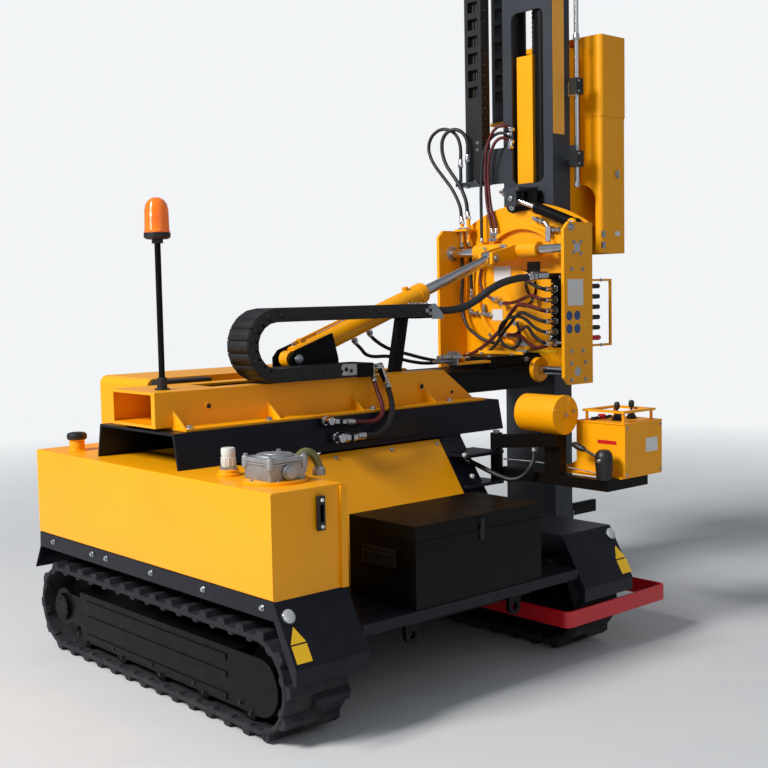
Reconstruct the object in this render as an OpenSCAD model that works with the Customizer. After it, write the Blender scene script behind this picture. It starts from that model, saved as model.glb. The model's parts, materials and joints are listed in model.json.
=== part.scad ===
// Crawler pile driver rig with a side mast.
// X runs across the tracks from the oil tank to the mast, Y runs from the
// front platform to the rear of the tracks, Z is up from the ground.
// Every module is written from the middle of the tracks, and place() moves it
// to the middle of the whole machine's footprint.

/* [Tracks] */
// Distance between the track centre lines
track_gauge = 1620; // [1560:5:1660]
// Width of one rubber track
track_w = 300; // [260:5:320]
// Length of the track loop over its lugs
track_len = 1966; // [1800:2:2100]
// Height of the track loop over its lugs
track_h = 420; // [380:2:440]
// Thickness of the rubber band
band_t = 20; // [14:1:26]
// Height of a tread lug
lug_h = 24; // [16:1:30]
// Length of a tread lug along the band at its root
lug_len = 62; // [40:1:70]
// Lugs round the loop on each half of the band
lug_count = 34; // [26:1:38]
// Height of an inner drive tooth
tooth_h = 24; // [16:1:30]
// Radius of a bottom roller
roller_r = 52; // [40:1:60]
// Bottom rollers in one track frame
roller_count = 5; // [3:1:6]
// Thickness of the side plate of a track frame
frame_plate_t = 12; // [8:1:20]

/* [Deck] */
// Width over both fenders
deck_w = 1932; // [1900:2:2100]
// Width of one fender and of the oil tank
fender_w = 342; // [320:2:345]
// Height of the fender top above the ground
fender_z = 545; // [520:5:640]
// Height of the fender skirt
skirt_h = 70; // [50:1:110]
// Thickness of the fender plate
fender_t = 6; // [4:1:10]
// Front edge of the fender top, in front of the track middle
fender_front = 913; // [880:1:960]
// Rear edge of the fender top, behind the track middle
fender_rear = 938; // [900:1:960]
// Forward reach of the slanted nose plate
nose_run = 127; // [90:1:160]
// Drop of the slanted nose plate
nose_drop = 220; // [160:1:250]
// Height of the upright lip under the nose plate
nose_lip = 60; // [40:1:80]
// Height of the oil tank
tank_h = 390; // [340:5:430]
// Height of the front platform above the ground
platform_z = 410; // [390:5:440]
// Front edge of the platform, in front of the track middle
platform_front = 1003; // [980:1:1030]
// Thickness of the platform plate
platform_t = 8; // [5:1:12]

/* [Toolbox] */
// Width of the toolbox
toolbox_w = 732; // [600:2:800]
// Depth of the toolbox
toolbox_d = 395; // [300:5:400]
// Height of the toolbox with its lid
toolbox_h = 328; // [280:2:360]
// Height of the lid
lid_h = 70; // [40:1:100]
// Wall of the toolbox and the lid
toolbox_t = 4; // [3:0.5:8]

/* [Tower and saddle] */
// Width of the yellow front panel
panel_w = 1214; // [1100:2:1240]
// Thickness of the yellow front panel
panel_t = 10; // [6:1:14]
// Clearance between the hood and what it moves past
hood_gap = 5; // [3:0.5:8]
// Width of the black tower at the mast side
tower_w = 150; // [120:2:180]
// Distance from the track middle to the top of the front panel
panel_top_y = 173; // [165:1:180]
// Distance from the track middle to the foot of the front panel
panel_foot_y = 517; // [480:1:540]
// Length of the saddle over the tank and the tower
saddle_len = 1925; // [1880:5:1980]
// Overhang of the saddle past the mast side fender
saddle_over = 68; // [40:2:90]
// Width of the saddle at its flanges
saddle_w = 671; // [640:1:700]
// Lean of each saddle web from its foot to its top
saddle_lean = 30; // [20:1:45]
// Height of the saddle
saddle_h = 148; // [130:1:170]
// Plate thickness of the saddle
saddle_t = 10; // [8:1:16]

/* [Beam] */
// Length of the outer beam along its foot
beam_len = 1871; // [1800:5:1900]
// Width of the outer beam
beam_w = 375; // [350:1:400]
// Height of the outer beam
beam_h = 150; // [140:1:170]
// Wall of the outer beam
beam_t = 12; // [8:1:16]
// Slant of the outer beam's mast end
beam_slant = 205; // [150:5:260]
// Distance of the beam's middle behind the track middle
beam_y = 154; // [150:1:160]
// Width of the beam's foot flange
flange_w = 579; // [540:1:600]
// Thickness of the beam's foot flange
flange_t = 12; // [8:1:16]
// Clearance between the inner and the outer beam
beam_gap = 5; // [3:0.5:8]
// Length of the inner beam
inner_len = 2100; // [2000:5:2110]
// Wall of the inner beam
inner_t = 12; // [8:1:16]
// Width of the slot in the outer beam's top
slot_w = 190; // [180:1:220]

/* [Carriage] */
// Distance of the guide shafts from the track middle, across
shaft_x = 1500; // [1480:1:1520]
// Height of the lower guide shaft
shaft_z = 1204; // [1195:1:1215]
// Distance between the two guide shafts
shaft_rise = 652; // [620:1:680]
// Diameter of the guide shafts
shaft_d = 50; // [40:1:60]
// Running clearance round the guide shafts
shaft_gap = 0.1; // [0.05:0.01:0.3]
// Width of the carriage over its two side plates
carriage_w = 944; // [930:2:980]
// Thickness of a carriage side plate
plate_t = 20; // [14:1:25]
// Width of a carriage side plate
plate_w = 233; // [220:1:250]
// Height of a carriage side plate
plate_h = 852; // [820:1:880]
// Outer diameter of the sleeve on the upper shaft
sleeve_d = 86; // [76:1:100]
// Length of the sleeve on the upper shaft
sleeve_len = 467; // [420:1:480]
// Diameter of the slewing ring
ring_d = 694; // [640:2:720]
// Height of the slewing axis above the ground
slew_z = 1650; // [1640:1:1660]

/* [Mast] */
// Width of the mast
mast_w = 364; // [340:2:380]
// Depth of the mast
mast_d = 146; // [130:1:160]
// Plate thickness of the mast
mast_t = 14; // [10:1:18]
// Foot of the mast above the ground
mast_foot_z = 160; // [140:5:240]
// Top of the mast above the ground
mast_top_z = 4020; // [3900:10:4200]
// Width of the long window in the mast's face
window_w = 232; // [200:2:250]
// Foot of the long window
window_z0 = 2235; // [2200:5:2300]
// Top of the long window
window_z1 = 3180; // [3100:5:3250]

/* [Hammer] */
// Width of the hammer housing
hammer_w = 586; // [540:2:620]
// Depth of the hammer housing
hammer_d = 233; // [200:1:260]
// Height of the hammer housing
hammer_h = 1207; // [1100:1:1300]
// Foot of the hammer housing at rest
hammer_z = 1837; // [1800:1:1880]
// Height of the hammer housing's cap
cap_h = 447; // [400:1:500]
// Gap between the mast and the hammer housing
hammer_gap = 135; // [110:1:160]
// Wall of the hammer housing
hammer_t = 8; // [5:1:12]

/* [Console] */
// Width of the console box
console_w = 282; // [250:1:320]
// Length of the console box
console_l = 280; // [250:1:320]
// Height of the console box
console_h = 248; // [220:1:280]
// Diameter of the document drum
drum_d = 178; // [160:1:200]
// Length of the document drum
drum_l = 240; // [200:1:280]

/* [Hidden] */
$fn = 48;

// Places worked out from the driving dimensions
deck_x = deck_w / 2;
track_x = track_gauge / 2;
band_r = track_h / 2 - lug_h;
band_z = track_h / 2;
loop_y = track_len / 2 - lug_h - band_r;
tank_top = fender_z + tank_h;
saddle_x1 = deck_x + saddle_over;
saddle_x0 = saddle_x1 - saddle_len;
saddle_y = beam_y - 6;
saddle_top = tank_top + saddle_h;
beam_x0 = saddle_x0 - 10;
beam_x1 = beam_x0 + beam_len;
beam_z0 = saddle_top + flange_t;
beam_z1 = beam_z0 + beam_h;
beam_y0 = beam_y - beam_w / 2;
beam_y1 = beam_y + beam_w / 2;
inner_y0 = beam_y0 + beam_t + beam_gap;
inner_y1 = beam_y1 - beam_t - beam_gap;
inner_z0 = beam_z0 + beam_t + beam_gap;
inner_z1 = beam_z1 - beam_t - beam_gap;
// Slide pads fill the gap between the two beams but for the sliding clearance
slide_gap = 0.3;
pad_t = beam_gap - slide_gap;
pad_len = 60;
inner_x1 = shaft_x + 62;
inner_x0 = inner_x1 - inner_len;
carriage_y = beam_y + 20;
plate_y0 = carriage_y - carriage_w / 2;
plate_y1 = carriage_y + carriage_w / 2;
plate_x0 = shaft_x - 108;
plate_x1 = plate_x0 + plate_w;
plate_z0 = shaft_z - 68;
plate_z1 = plate_z0 + plate_h;
upper_z = shaft_z + shaft_rise;
slew_y = carriage_y;
mast_x0 = plate_x1 + 29;
mast_x1 = mast_x0 + mast_d;
mast_y0 = slew_y - mast_w / 2;
mast_y1 = slew_y + mast_w / 2;
vchain_w = 130;
vchain_y0 = mast_y1 + 169;
vchain_h = 70;
vchain_r = 150;
vchain_top = 3540;
vchain_z0 = 2270;
foot_t = 18;
foot_reach = 62;
hammer_x0 = mast_x1 + hammer_gap;
hammer_x1 = hammer_x0 + hammer_d;
drive_x = hammer_x0 + hammer_d / 2 - 20;
hammer_y0 = slew_y - hammer_w / 2;
hammer_y1 = slew_y + hammer_w / 2;
platform_x = deck_x - fender_w;
panel_x1 = -platform_x + panel_w;
hood_x0 = -platform_x + hood_gap;
hood_x1 = panel_x1 - hood_gap;
hood_y0 = saddle_y + saddle_w / 2 + 22;
hood_y1 = fender_rear + 12;
hood_z0 = 860;
hood_z1 = 1262;
hood_hinge = [0, hood_y0 - 14, hood_z1 - 26];
hinge_x = [hood_x0 + 160, hood_x1 - 200];
hinge_pin = 16;
hinge_gap = 0.1;
front_reach = fender_front + nose_run;
rear_reach = track_len / 2 + 20;
mid_x = (hammer_x1 - deck_x) / 2;
mid_y = (rear_reach - front_reach) / 2;

// Routes of the hoses, from where each leaves its first fitting
saddle_route_a = [
    [258, -84, 1218], [247, -117, 1175], [237, -152, 1133], [217, -183, 1092],
    [177, -204, 1061], [124, -214, 1051], [68, -218, 1054], [13, -218, 1060]];
saddle_route_b = [
    [344, -84, 1179], [315, -136, 1132], [285, -173, 1093], [244, -205, 1053],
    [193, -222, 1014], [130, -231, 993], [63, -232, 994]];
carriage_route = [
    [702, -60, 1545], [777, -80, 1545], [850, -104, 1560], [912, -135, 1596],
    [965, -169, 1641], [1027, -200, 1676], [1098, -227, 1695], [1175, -235, 1702]];
mast_route_a = [
    [1560, 608, 2071], [1560, 615, 2121], [1560, 636, 2167], [1560, 663, 2211],
    [1560, 694, 2251], [1560, 729, 2288], [1560, 765, 2325], [1560, 800, 2361],
    [1560, 833, 2400], [1559, 859, 2444], [1560, 872, 2493], [1564, 861, 2542],
    [1573, 828, 2579], [1585, 782, 2595], [1599, 734, 2586], [1611, 695, 2556],
    [1618, 673, 2511], [1620, 665, 2461], [1620, 666, 2410]];
mast_route_b = [
    [1560, 558, 2098], [1560, 567, 2153], [1560, 589, 2204], [1560, 618, 2252],
    [1560, 654, 2295], [1560, 691, 2337], [1560, 726, 2381], [1560, 750, 2431],
    [1560, 760, 2486], [1564, 751, 2541], [1578, 713, 2578], [1598, 662, 2578],
    [1614, 623, 2543], [1620, 608, 2490], [1620, 609, 2434]];
feed_route = [
    [1640, 310, 2520], [1620, 353, 2529], [1601, 393, 2510], [1588, 421, 2472],
    [1581, 439, 2427], [1576, 449, 2379], [1573, 453, 2331], [1571, 455, 2282],
    [1569, 455, 2233], [1567, 455, 2184], [1565, 453, 2135], [1563, 451, 2087],
    [1561, 448, 2038], [1559, 446, 1989], [1558, 445, 1940]];
console_route = [
    [706, -270, 808], [717, -326, 788], [728, -383, 767], [740, -439, 748],
    [758, -496, 737], [780, -547, 758], [797, -577, 800], [812, -586, 836], [820, -582, 872]];
saddle_hose_d = [22, 28];
carriage_hose_d = 38;
mast_hose_d = [20, 22];
feed_hose_d = 18;
console_hose_d = 24;

// Moves a piece from the middle of the tracks to the row's own origin
module place() {
    translate([-mid_x, -mid_y, 0]) children();
}

// A block between two corners
module block(lo, hi) {
    translate(lo) cube(hi - lo);
}

// A cylinder along X, Y or Z from a point
module rod_x(p, d, l) {
    translate(p) rotate([0, 90, 0]) cylinder(d = d, h = l);
}
module rod_y(p, d, l) {
    translate(p) rotate([-90, 0, 0]) cylinder(d = d, h = l);
}
module rod_z(p, d, l) {
    translate(p) cylinder(d = d, h = l);
}

// A cylinder from one point to another
module strut(a, b, d) {
    v = b - a;
    translate(a) rotate([0, acos(v[2] / norm(v)), atan2(v[1], v[0])]) cylinder(d = d, h = norm(v));
}

// A rectangle with round corners
module round_rect(w, h, r) {
    translate([r, 0]) square([w - 2 * r, h]);
    translate([0, r]) square([w, h - 2 * r]);
    for (x = [r, w - r], y = [r, h - r]) translate([x, y]) circle(r = r);
}

// Extrudes a drawing of Y and Z along X, from x0 to x1
module along_x(x0, x1) {
    translate([x0, 0, 0]) rotate([90, 0, 90]) linear_extrude(x1 - x0) children();
}

// Extrudes a drawing of X and Z along Y, from y0 to y1
module along_y(y0, y1) {
    translate([0, y1, 0]) rotate([90, 0, 0]) linear_extrude(y1 - y0) children();
}

// A hose is one tube swept along its route, with a ring of corners at each point
hose_sides = 10;
function unit(v) = v / norm(v);
function heading(route, i) = unit(route[min(i + 1, len(route) - 1)] - route[max(i - 1, 0)]);
function square_off(v, t) = unit(v - (v * t) * t);
function first_side(t) = square_off(abs(t[2]) < 0.9 ? [0, 0, 1] : [1, 0, 0], t);
function hose_side(route) = [
    for (i = 0, side = first_side(heading(route, 0)); i < len(route);
        i = i + 1, side = square_off(side, heading(route, min(i, len(route) - 1)))) side];
module hose(route, d) {
    n = len(route);
    side = hose_side(route);
    corners = [for (i = [0 : n - 1])
        let (t = heading(route, i), u = square_off(side[i], t), w = cross(t, u))
        for (k = [0 : hose_sides - 1]) let (a = 360 * k / hose_sides)
            route[i] + d / 2 * (cos(a) * u + sin(a) * w)];
    walls = [for (i = [0 : n - 2], k = [0 : hose_sides - 1]) let (m = (k + 1) % hose_sides)
        [i * hose_sides + k, (i + 1) * hose_sides + k, (i + 1) * hose_sides + m, i * hose_sides + m]];
    ends = [[for (k = [0 : hose_sides - 1]) k],
        [for (k = [hose_sides - 1 : -1 : 0]) (n - 1) * hose_sides + k]];
    polyhedron(corners, concat(walls, ends));
}

// A steel ferrule in line with a hose, before its first point or past its last
ferrule_gap = 0.2;
function before(route, l) = route[0] - l * unit(route[1] - route[0]);
function past(route, l) = let (n = len(route) - 1) route[n] + l * unit(route[n] - route[n - 1]);
module first_ferrule(route, d, l) strut(before(route, l), before(route, ferrule_gap), d + 4);
module last_ferrule(route, d, l) strut(past(route, l), past(route, ferrule_gap), d + 4);

// The track is a rubber loop. Its outline is drawn from the side, in Y and Z.
module stadium(r) {
    translate([-loop_y, band_z - r]) square([2 * loop_y, 2 * r]);
    for (s = [-1, 1]) translate([s * loop_y, band_z]) circle(r = r);
}

// Place and turn of a lug at a share of the loop, from the top run's middle
function loop_length(r) = 4 * loop_y + 2 * PI * r;
function loop_at(s, r) =
    let (half = 2 * loop_y, arc = PI * r)
    s < half ? [s - loop_y, band_z + r, 0]
    : s < half + arc ? let (a = (s - half) / r * 180 / PI)
        [loop_y + r * sin(a), band_z + r * cos(a), -a]
    : s < 2 * half + arc ? [loop_y - (s - half - arc), band_z - r, 180]
    : let (a = 180 + (s - 2 * half - arc) / r * 180 / PI)
        [-loop_y + r * sin(a), band_z + r * cos(a), -a];

// Lugs or teeth round the loop, each a trapezium that starts inside the band
module loop_teeth(r, root, tip, height, phase) {
    step = loop_length(r) / lug_count;
    for (i = [0 : lug_count - 1]) {
        p = loop_at((i + phase) * step, r);
        translate([p[0], p[1]]) rotate(p[2])
            polygon([[-root / 2, 0], [root / 2, 0], [tip / 2, height], [-tip / 2, height]]);
    }
}

module band_outline() {
    difference() {
        stadium(band_r);
        stadium(band_r - band_t);
    }
}

module track(side) {
    half = track_w / 2;
    lug_over = 22;
    tooth_w = 60;
    translate([side * track_x, 0, 0]) {
        along_x(-half, half) band_outline();
        along_x(-half, lug_over)
            loop_teeth(band_r - 2, lug_len, lug_len * 0.55, lug_h + 2, 0);
        along_x(-lug_over, half)
            loop_teeth(band_r - 2, lug_len, lug_len * 0.55, lug_h + 2, 0.5);
        along_x(-tooth_w / 2, tooth_w / 2)
            loop_teeth(band_r - band_t + 2, 34, 20, -tooth_h - 2, 0.25);
    }
}
module track_left() color([0.16, 0.165, 0.18]) place() track(-1);
module track_right() color([0.16, 0.165, 0.18]) place() track(1);

// The track frame is a box beam between two wide flat side plates
wheel_r = band_r - band_t - tooth_h - 6;
hub_d = 120;
axle_d = 36;
idler_axle_d = 60;
frame_half = track_w / 2 - 24;
frame_inner = frame_half - frame_plate_t;
frame_y0 = -loop_y + wheel_r + 14;
frame_y1 = loop_y - wheel_r - 14;
frame_z0 = 82;
frame_z1 = band_z + 95;
roller_z = lug_h + band_t + roller_r;
roller_y = [for (i = [0 : roller_count - 1])
    frame_y0 - 60 + i * (frame_y1 - frame_y0 + 40) / (roller_count - 1)];
module frame_side() difference() {
    union() {
        translate([-loop_y, frame_z0]) square([frame_y1 + loop_y, frame_z1 - frame_z0]);
        translate([-loop_y, (frame_z0 + frame_z1) / 2]) circle(d = frame_z1 - frame_z0);
        translate([frame_y1 - 1, band_z - 70]) square([loop_y - frame_y1, 140]);
        translate([loop_y, band_z]) circle(r = 88);
    }
    translate([loop_y, band_z]) circle(d = hub_d);
}
module track_frame(side) {
    translate([side * track_x, 0, 0]) {
        for (x = [-frame_half, frame_inner]) along_x(x, x + frame_plate_t) frame_side();
        block([-frame_inner, frame_y0, frame_z1 - 14], [frame_inner, frame_y1, frame_z1]);
        for (y = [frame_y0, frame_y1 - 14])
            block([-frame_inner, y, roller_z + roller_r + 12], [frame_inner, y + 14, frame_z1 - 14]);
    }
}
module track_frame_left() color([0.09, 0.09, 0.1]) place() track_frame(-1);
module track_frame_right() color([0.09, 0.09, 0.1]) place() track_frame(1);

// Sprocket, idler and bottom rollers, joined to their frame by their axles
module running_gear(side) {
    translate([side * track_x, 0, 0]) {
        rod_x([-frame_half - 18, loop_y, band_z], hub_d, 2 * frame_half + 36);
        rod_x([-40, loop_y, band_z], 2 * wheel_r, 80);
        rod_x([-frame_inner, -loop_y, band_z], idler_axle_d, 2 * frame_inner);
        for (s = [-1, 1]) rod_x([s * 50 - 18, -loop_y, band_z], 2 * wheel_r, 36);
        for (y = roller_y) {
            for (x = [-frame_inner + 6, frame_inner - 66]) rod_x([x, y, roller_z], 2 * roller_r, 60);
            rod_x([-frame_inner, y, roller_z], axle_d, 2 * frame_inner);
        }
    }
}
module running_gear_left() color([0.12, 0.12, 0.13]) place() running_gear(-1);
module running_gear_right() color([0.12, 0.12, 0.13]) place() running_gear(1);

// Two long beams and two cross tubes carry the tracks and the deck
chassis_x = track_x - frame_half;
belly_x = 430;
belly_z0 = 320;
cross_w = 130;
cross_y = [-470, 340];
cross_z0 = 200;
belly_y = 900;
lash_x = 300;
lash_z = 290;
lash_r = 16;
lash_t = 20;
lash_y = belly_y + lash_t / 2;
module chassis_frame() color([0.1, 0.1, 0.11]) place() difference() {
    union() {
        for (y = cross_y)
            block([-chassis_x, y, cross_z0], [chassis_x, y + cross_w, belly_z0 + 1]);
        block([-belly_x, -belly_y, belly_z0], [belly_x, belly_y, platform_z - platform_t]);
        for (sx = [-1, 1], sy = [-1, 1]) {
            block([sx * lash_x - 2 * lash_r - 4, sy * lash_y - lash_t / 2, lash_z],
                [sx * lash_x + 2 * lash_r + 4, sy * lash_y + lash_t / 2, belly_z0 + 60]);
            rod_y([sx * lash_x, sy * lash_y - lash_t / 2, lash_z], 4 * lash_r + 8, lash_t);
        }
    }
    for (sx = [-1, 1], sy = [-1, 1])
        rod_y([sx * lash_x, sy * lash_y - lash_t, lash_z], 2 * lash_r, 2 * lash_t);
}

module platform() color([0.09, 0.09, 0.1]) place() {
    block([-platform_x, -platform_front, platform_z - platform_t],
        [platform_x, fender_rear, platform_z]);
    block([-platform_x, -platform_front, platform_z - 45],
        [platform_x, -platform_front + platform_t, platform_z - platform_t]);
}

// Fender: top plate, two skirts, a slanted nose with a lip and a rear flap
module fender(side) {
    inner = side * (deck_x - fender_w);
    outer = side * deck_x;
    x0 = min(inner, outer);
    x1 = max(inner, outer);
    t = fender_t;
    nose = [[-fender_front, fender_z - t], [-fender_front, fender_z],
        [-front_reach, fender_z - nose_drop], [-front_reach, fender_z - nose_drop - nose_lip],
        [-front_reach + t, fender_z - nose_drop - nose_lip],
        [-front_reach + t, fender_z - nose_drop - 1]];
    block([x0, -fender_front, fender_z - t], [x1, fender_rear, fender_z]);
    block([x0, -fender_front, fender_z - skirt_h], [x0 + t, fender_rear, fender_z]);
    block([x1 - t, -fender_front, fender_z - skirt_h], [x1, fender_rear, fender_z]);
    along_x(x0, x1) polygon(nose);
    for (x = [x0, x1 - t]) along_x(x, x + t) polygon([
        [-fender_front, fender_z], [-front_reach, fender_z - nose_drop],
        [-front_reach, fender_z - nose_drop - nose_lip],
        [-front_reach + 18, fender_z - nose_drop - nose_lip],
        [-fender_front, fender_z - skirt_h]]);
    along_x(x0, x1) polygon([[fender_rear - t, fender_z], [fender_rear, fender_z],
        [fender_rear + 4, fender_z - skirt_h], [rear_reach, fender_z - 180],
        [rear_reach - t, fender_z - 180], [fender_rear - t, fender_z - skirt_h]]);
}
module fender_left() color([0.1, 0.11, 0.15]) place() fender(-1);
module fender_right() color([0.1, 0.11, 0.15]) place() fender(1);

// Oil tank: folded steel box that seats on the fender top
module oil_tank() color([0.95, 0.64, 0.04]) place() {
    along_y(-fender_front, fender_rear)
        translate([-deck_x, fender_z]) round_rect(fender_w, tank_h, 8);
    block([-deck_x + fender_w - 30, -fender_front - 12, fender_z],
        [-deck_x + fender_w, -fender_front + 2, tank_top - 8]);
}

tank_x = -deck_x + fender_w / 2;
module filler_neck() color([0.12, 0.12, 0.12]) place() {
    rod_z([tank_x - 60, fender_rear - 190, tank_top], 70, 55);
    rod_z([tank_x - 60, fender_rear - 190, tank_top + 55], 88, 30);
}

// Return filter on a round flange, with the breather beside it
filter_y = -fender_front + 230;
module return_filter() color([0.75, 0.75, 0.75]) place() {
    rod_z([tank_x + 20, filter_y, tank_top], 250, 12);
    block([tank_x - 62, filter_y - 82, tank_top + 12], [tank_x + 102, filter_y + 82, tank_top + 96]);
    rod_z([tank_x + 20, filter_y, tank_top + 96], 150, 14);
    rod_z([tank_x - 20, filter_y + 250, tank_top], 80, 26);
    rod_z([tank_x - 20, filter_y + 250, tank_top + 26], 56, 84);
}
module level_gauge() color([0.08, 0.08, 0.08]) place() {
    gx = tank_x + 45;
    block([gx - 17, -fender_front - 20, tank_top - 160], [gx + 17, -fender_front, tank_top - 32]);
}

// Toolbox with a hinged lid
box_x0 = -348;
box_y0 = -platform_front + 5;
box_top = platform_z + toolbox_h;
lid_pin = 10;
lid_knuckle = 18;
lid_hinge = [box_x0, box_y0 + toolbox_d + lid_knuckle / 2 + 1, box_top - lid_h];
lid_hinge_x = [box_x0 + 90, box_x0 + toolbox_w - 170];
module lid_strap(x, z0, z1) {
    rod_x([x, lid_hinge[1], lid_hinge[2]], lid_knuckle, 24);
    block([x, box_y0 + toolbox_d - 1, z0], [x + 24, lid_hinge[1], z1]);
}
module toolbox_body() color([0.1, 0.09, 0.07]) place() {
    difference() {
        block([box_x0, box_y0, platform_z],
            [box_x0 + toolbox_w, box_y0 + toolbox_d, box_top - lid_h - 0.3]);
        block([box_x0 + toolbox_t, box_y0 + toolbox_t, platform_z + toolbox_t],
            [box_x0 + toolbox_w - toolbox_t, box_y0 + toolbox_d - toolbox_t, box_top]);
    }
    for (x = lid_hinge_x, dx = [0, 52]) lid_strap(x + dx, lid_hinge[2] - 30, lid_hinge[2] - 6);
    for (x = lid_hinge_x) rod_x([x + 20, lid_hinge[1], lid_hinge[2]], lid_pin, 36);
}
module toolbox_lid() color([0.12, 0.1, 0.08]) place() {
    difference() {
        block([box_x0, box_y0, box_top - lid_h],
            [box_x0 + toolbox_w, box_y0 + toolbox_d, box_top]);
        block([box_x0 + toolbox_t, box_y0 + toolbox_t, box_top - lid_h - 1],
            [box_x0 + toolbox_w - toolbox_t, box_y0 + toolbox_d - toolbox_t, box_top - toolbox_t]);
    }
    for (x = lid_hinge_x) difference() {
        lid_strap(x + 26, lid_hinge[2] + 6, lid_hinge[2] + 30);
        rod_x([x + 25, lid_hinge[1], lid_hinge[2]], lid_pin + 0.2, 26);
    }
}

// Leaning yellow panel in front of the engine bay
module lean_outline(t) polygon([
    [-panel_foot_y, platform_z], [-panel_foot_y + t, platform_z],
    [-panel_top_y + t, tank_top - 12], [-panel_top_y, tank_top - 12]]);
module front_panel() color([0.9, 0.6, 0.05]) place()
    along_x(-platform_x, panel_x1) lean_outline(panel_t);

arm_hinge = [830, -330, 0];
arm_pin_d = 30;
lug_t = 16;
arm_tube_z0 = 712;
arm_tube_z1 = 842;
arm_lugs_z = [arm_tube_z0 - lug_t - 0.5, arm_tube_z1 + 0.5];
// Black tower that carries the saddle at the mast side
tower_x1 = panel_x1 + tower_w;
module tower_frame() color([0.09, 0.1, 0.13]) place() {
    along_x(panel_x1, panel_x1 + 12) polygon([[-panel_foot_y, platform_z],
        [fender_rear, platform_z], [fender_rear, fender_z + 120], [480, tank_top],
        [-panel_top_y, tank_top]]);
    intersection() {
        along_x(panel_x1 + 12, tower_x1) lean_outline(14);
        block([panel_x1, -platform_front, fender_z], [tower_x1, fender_rear, tank_top]);
    }
    block([panel_x1 + 12, -panel_top_y, tank_top - 14], [tower_x1, 480, tank_top]);
    block([tower_x1 - 12, -panel_top_y + 6, fender_z], [tower_x1, 480, tank_top - 14]);
    for (z = arm_lugs_z) difference() {
        union() {
            block([panel_x1 + 12, arm_hinge[1] - 30, z], [arm_hinge[0], arm_hinge[1] + 160, z + lug_t]);
            rod_z([arm_hinge[0], arm_hinge[1], z], 70, lug_t);
        }
        rod_z([arm_hinge[0], arm_hinge[1], z - 1], arm_pin_d + 0.2, lug_t + 2);
    }
    first_ferrule(console_route, console_hose_d, 40);
}

// Saddle: a folded channel with leaning webs and an open end over the tank
module saddle() color([0.1, 0.11, 0.15]) place() {
    w = saddle_w / 2;
    t = saddle_t;
    n = saddle_lean;
    foot = hood_hinge[1] - 14;
    for (x = hinge_x) {
        for (dx = [-15, 42]) along_x(x + dx, x + dx + 13) polygon([
            [saddle_y + w - n - 12, saddle_top - 1], [hood_hinge[1] + 8, saddle_top - 60],
            [hood_hinge[1] + 8, hood_hinge[2] + 4], [hood_hinge[1] + 4, hood_hinge[2] + 8],
            [foot, hood_hinge[2] + 8],
            [saddle_y + w - n - 12, saddle_top + 30]]);
        rod_x([x - 10, hood_hinge[1], hood_hinge[2]], hinge_pin, 60);
    }
    along_x(saddle_x0, saddle_x1) translate([saddle_y, tank_top]) polygon([
        [-w, 0], [-w + n, saddle_h], [w - n, saddle_h], [w, 0], [w - t, 0],
        [w - n - t, saddle_h - t], [-w + n + t, saddle_h - t], [-w + t, 0]]);
    for (end = [[saddle_route_a, 0], [saddle_route_b, 1]]) {
        elbow = past(end[0], 86);
        web_y = saddle_y - w + n * (elbow[2] - tank_top) / saddle_h;
        last_ferrule(end[0], saddle_hose_d[end[1]], 86);
        strut([elbow[0], elbow[1] - 14, elbow[2]], [elbow[0], web_y + t / 2, elbow[2]], saddle_hose_d[end[1]] + 10);
    }
}

// Outer beam: a box with an open tank end, a slanted mast end and a foot flange
module outer_beam() color([0.95, 0.64, 0.04]) place() {
    difference() {
        along_y(beam_y0, beam_y1) polygon([[beam_x0, beam_z0], [beam_x0, beam_z1],
            [beam_x1 - beam_slant, beam_z1], [beam_x1, beam_z0]]);
        block([beam_x0 - 1, beam_y0 + beam_t, beam_z0 + beam_t],
            [beam_x1 + 1, beam_y1 - beam_t, beam_z1 - beam_t]);
        block([-560, beam_y - slot_w / 2, beam_z1 - 40], [beam_x1 + 1, beam_y + slot_w / 2, beam_z1 + 1]);
    }
    block([saddle_x0 + 70, saddle_y - flange_w / 2, saddle_top],
        [saddle_x1 - 80, saddle_y + flange_w / 2, beam_z0]);
    pad_x = beam_x1 - beam_slant - 70;
    for (s = [-1, 1]) {
        wall = beam_y + s * (beam_y1 - beam_t - beam_y);
        block([pad_x, min(wall, wall - s * pad_t), beam_z0 + 45],
            [pad_x + pad_len, max(wall, wall - s * pad_t), beam_z1 - 45]);
        block([pad_x, beam_y + s * 132 - 24, beam_z0 + beam_t - 1],
            [pad_x + pad_len, beam_y + s * 132 + 24, beam_z0 + beam_t + pad_t]);
    }
    gusset_x = [saddle_x0 + 74, -330, 150, 620];
    for (x = gusset_x, s = [-1, 1]) translate([x, beam_y, beam_z0])
        along_x(0, 12) polygon([[s * beam_w / 2, 0], [s * (beam_w / 2 + 88), 0],
            [s * beam_w / 2, 70]]);
}

beacon_at = [-790, beam_y - 69];
module beacon_pole() color([0.08, 0.09, 0.09]) place() {
    rod_z([beacon_at[0], beacon_at[1], beam_z1], 40, 40);
    rod_z([beacon_at[0], beacon_at[1], beam_z1 + 40], 26, 590);
    translate([beacon_at[0], beacon_at[1], beam_z1 + 625]) cylinder(d1 = 30, d2 = 110, h = 35);
}
module beacon_lamp() color([0.95, 0.4, 0.05]) place() {
    base = beam_z1 + 660;
    rod_z([beacon_at[0], beacon_at[1], base], 108, 95);
    translate([beacon_at[0], beacon_at[1], base + 95]) sphere(d = 108);
}

// Engine: one plain block on the chassis, under the hood
module engine_block() color([0.3, 0.3, 0.3]) place()
    block([-330, 60, platform_z], [330, 860, platform_z + 400]);

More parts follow.
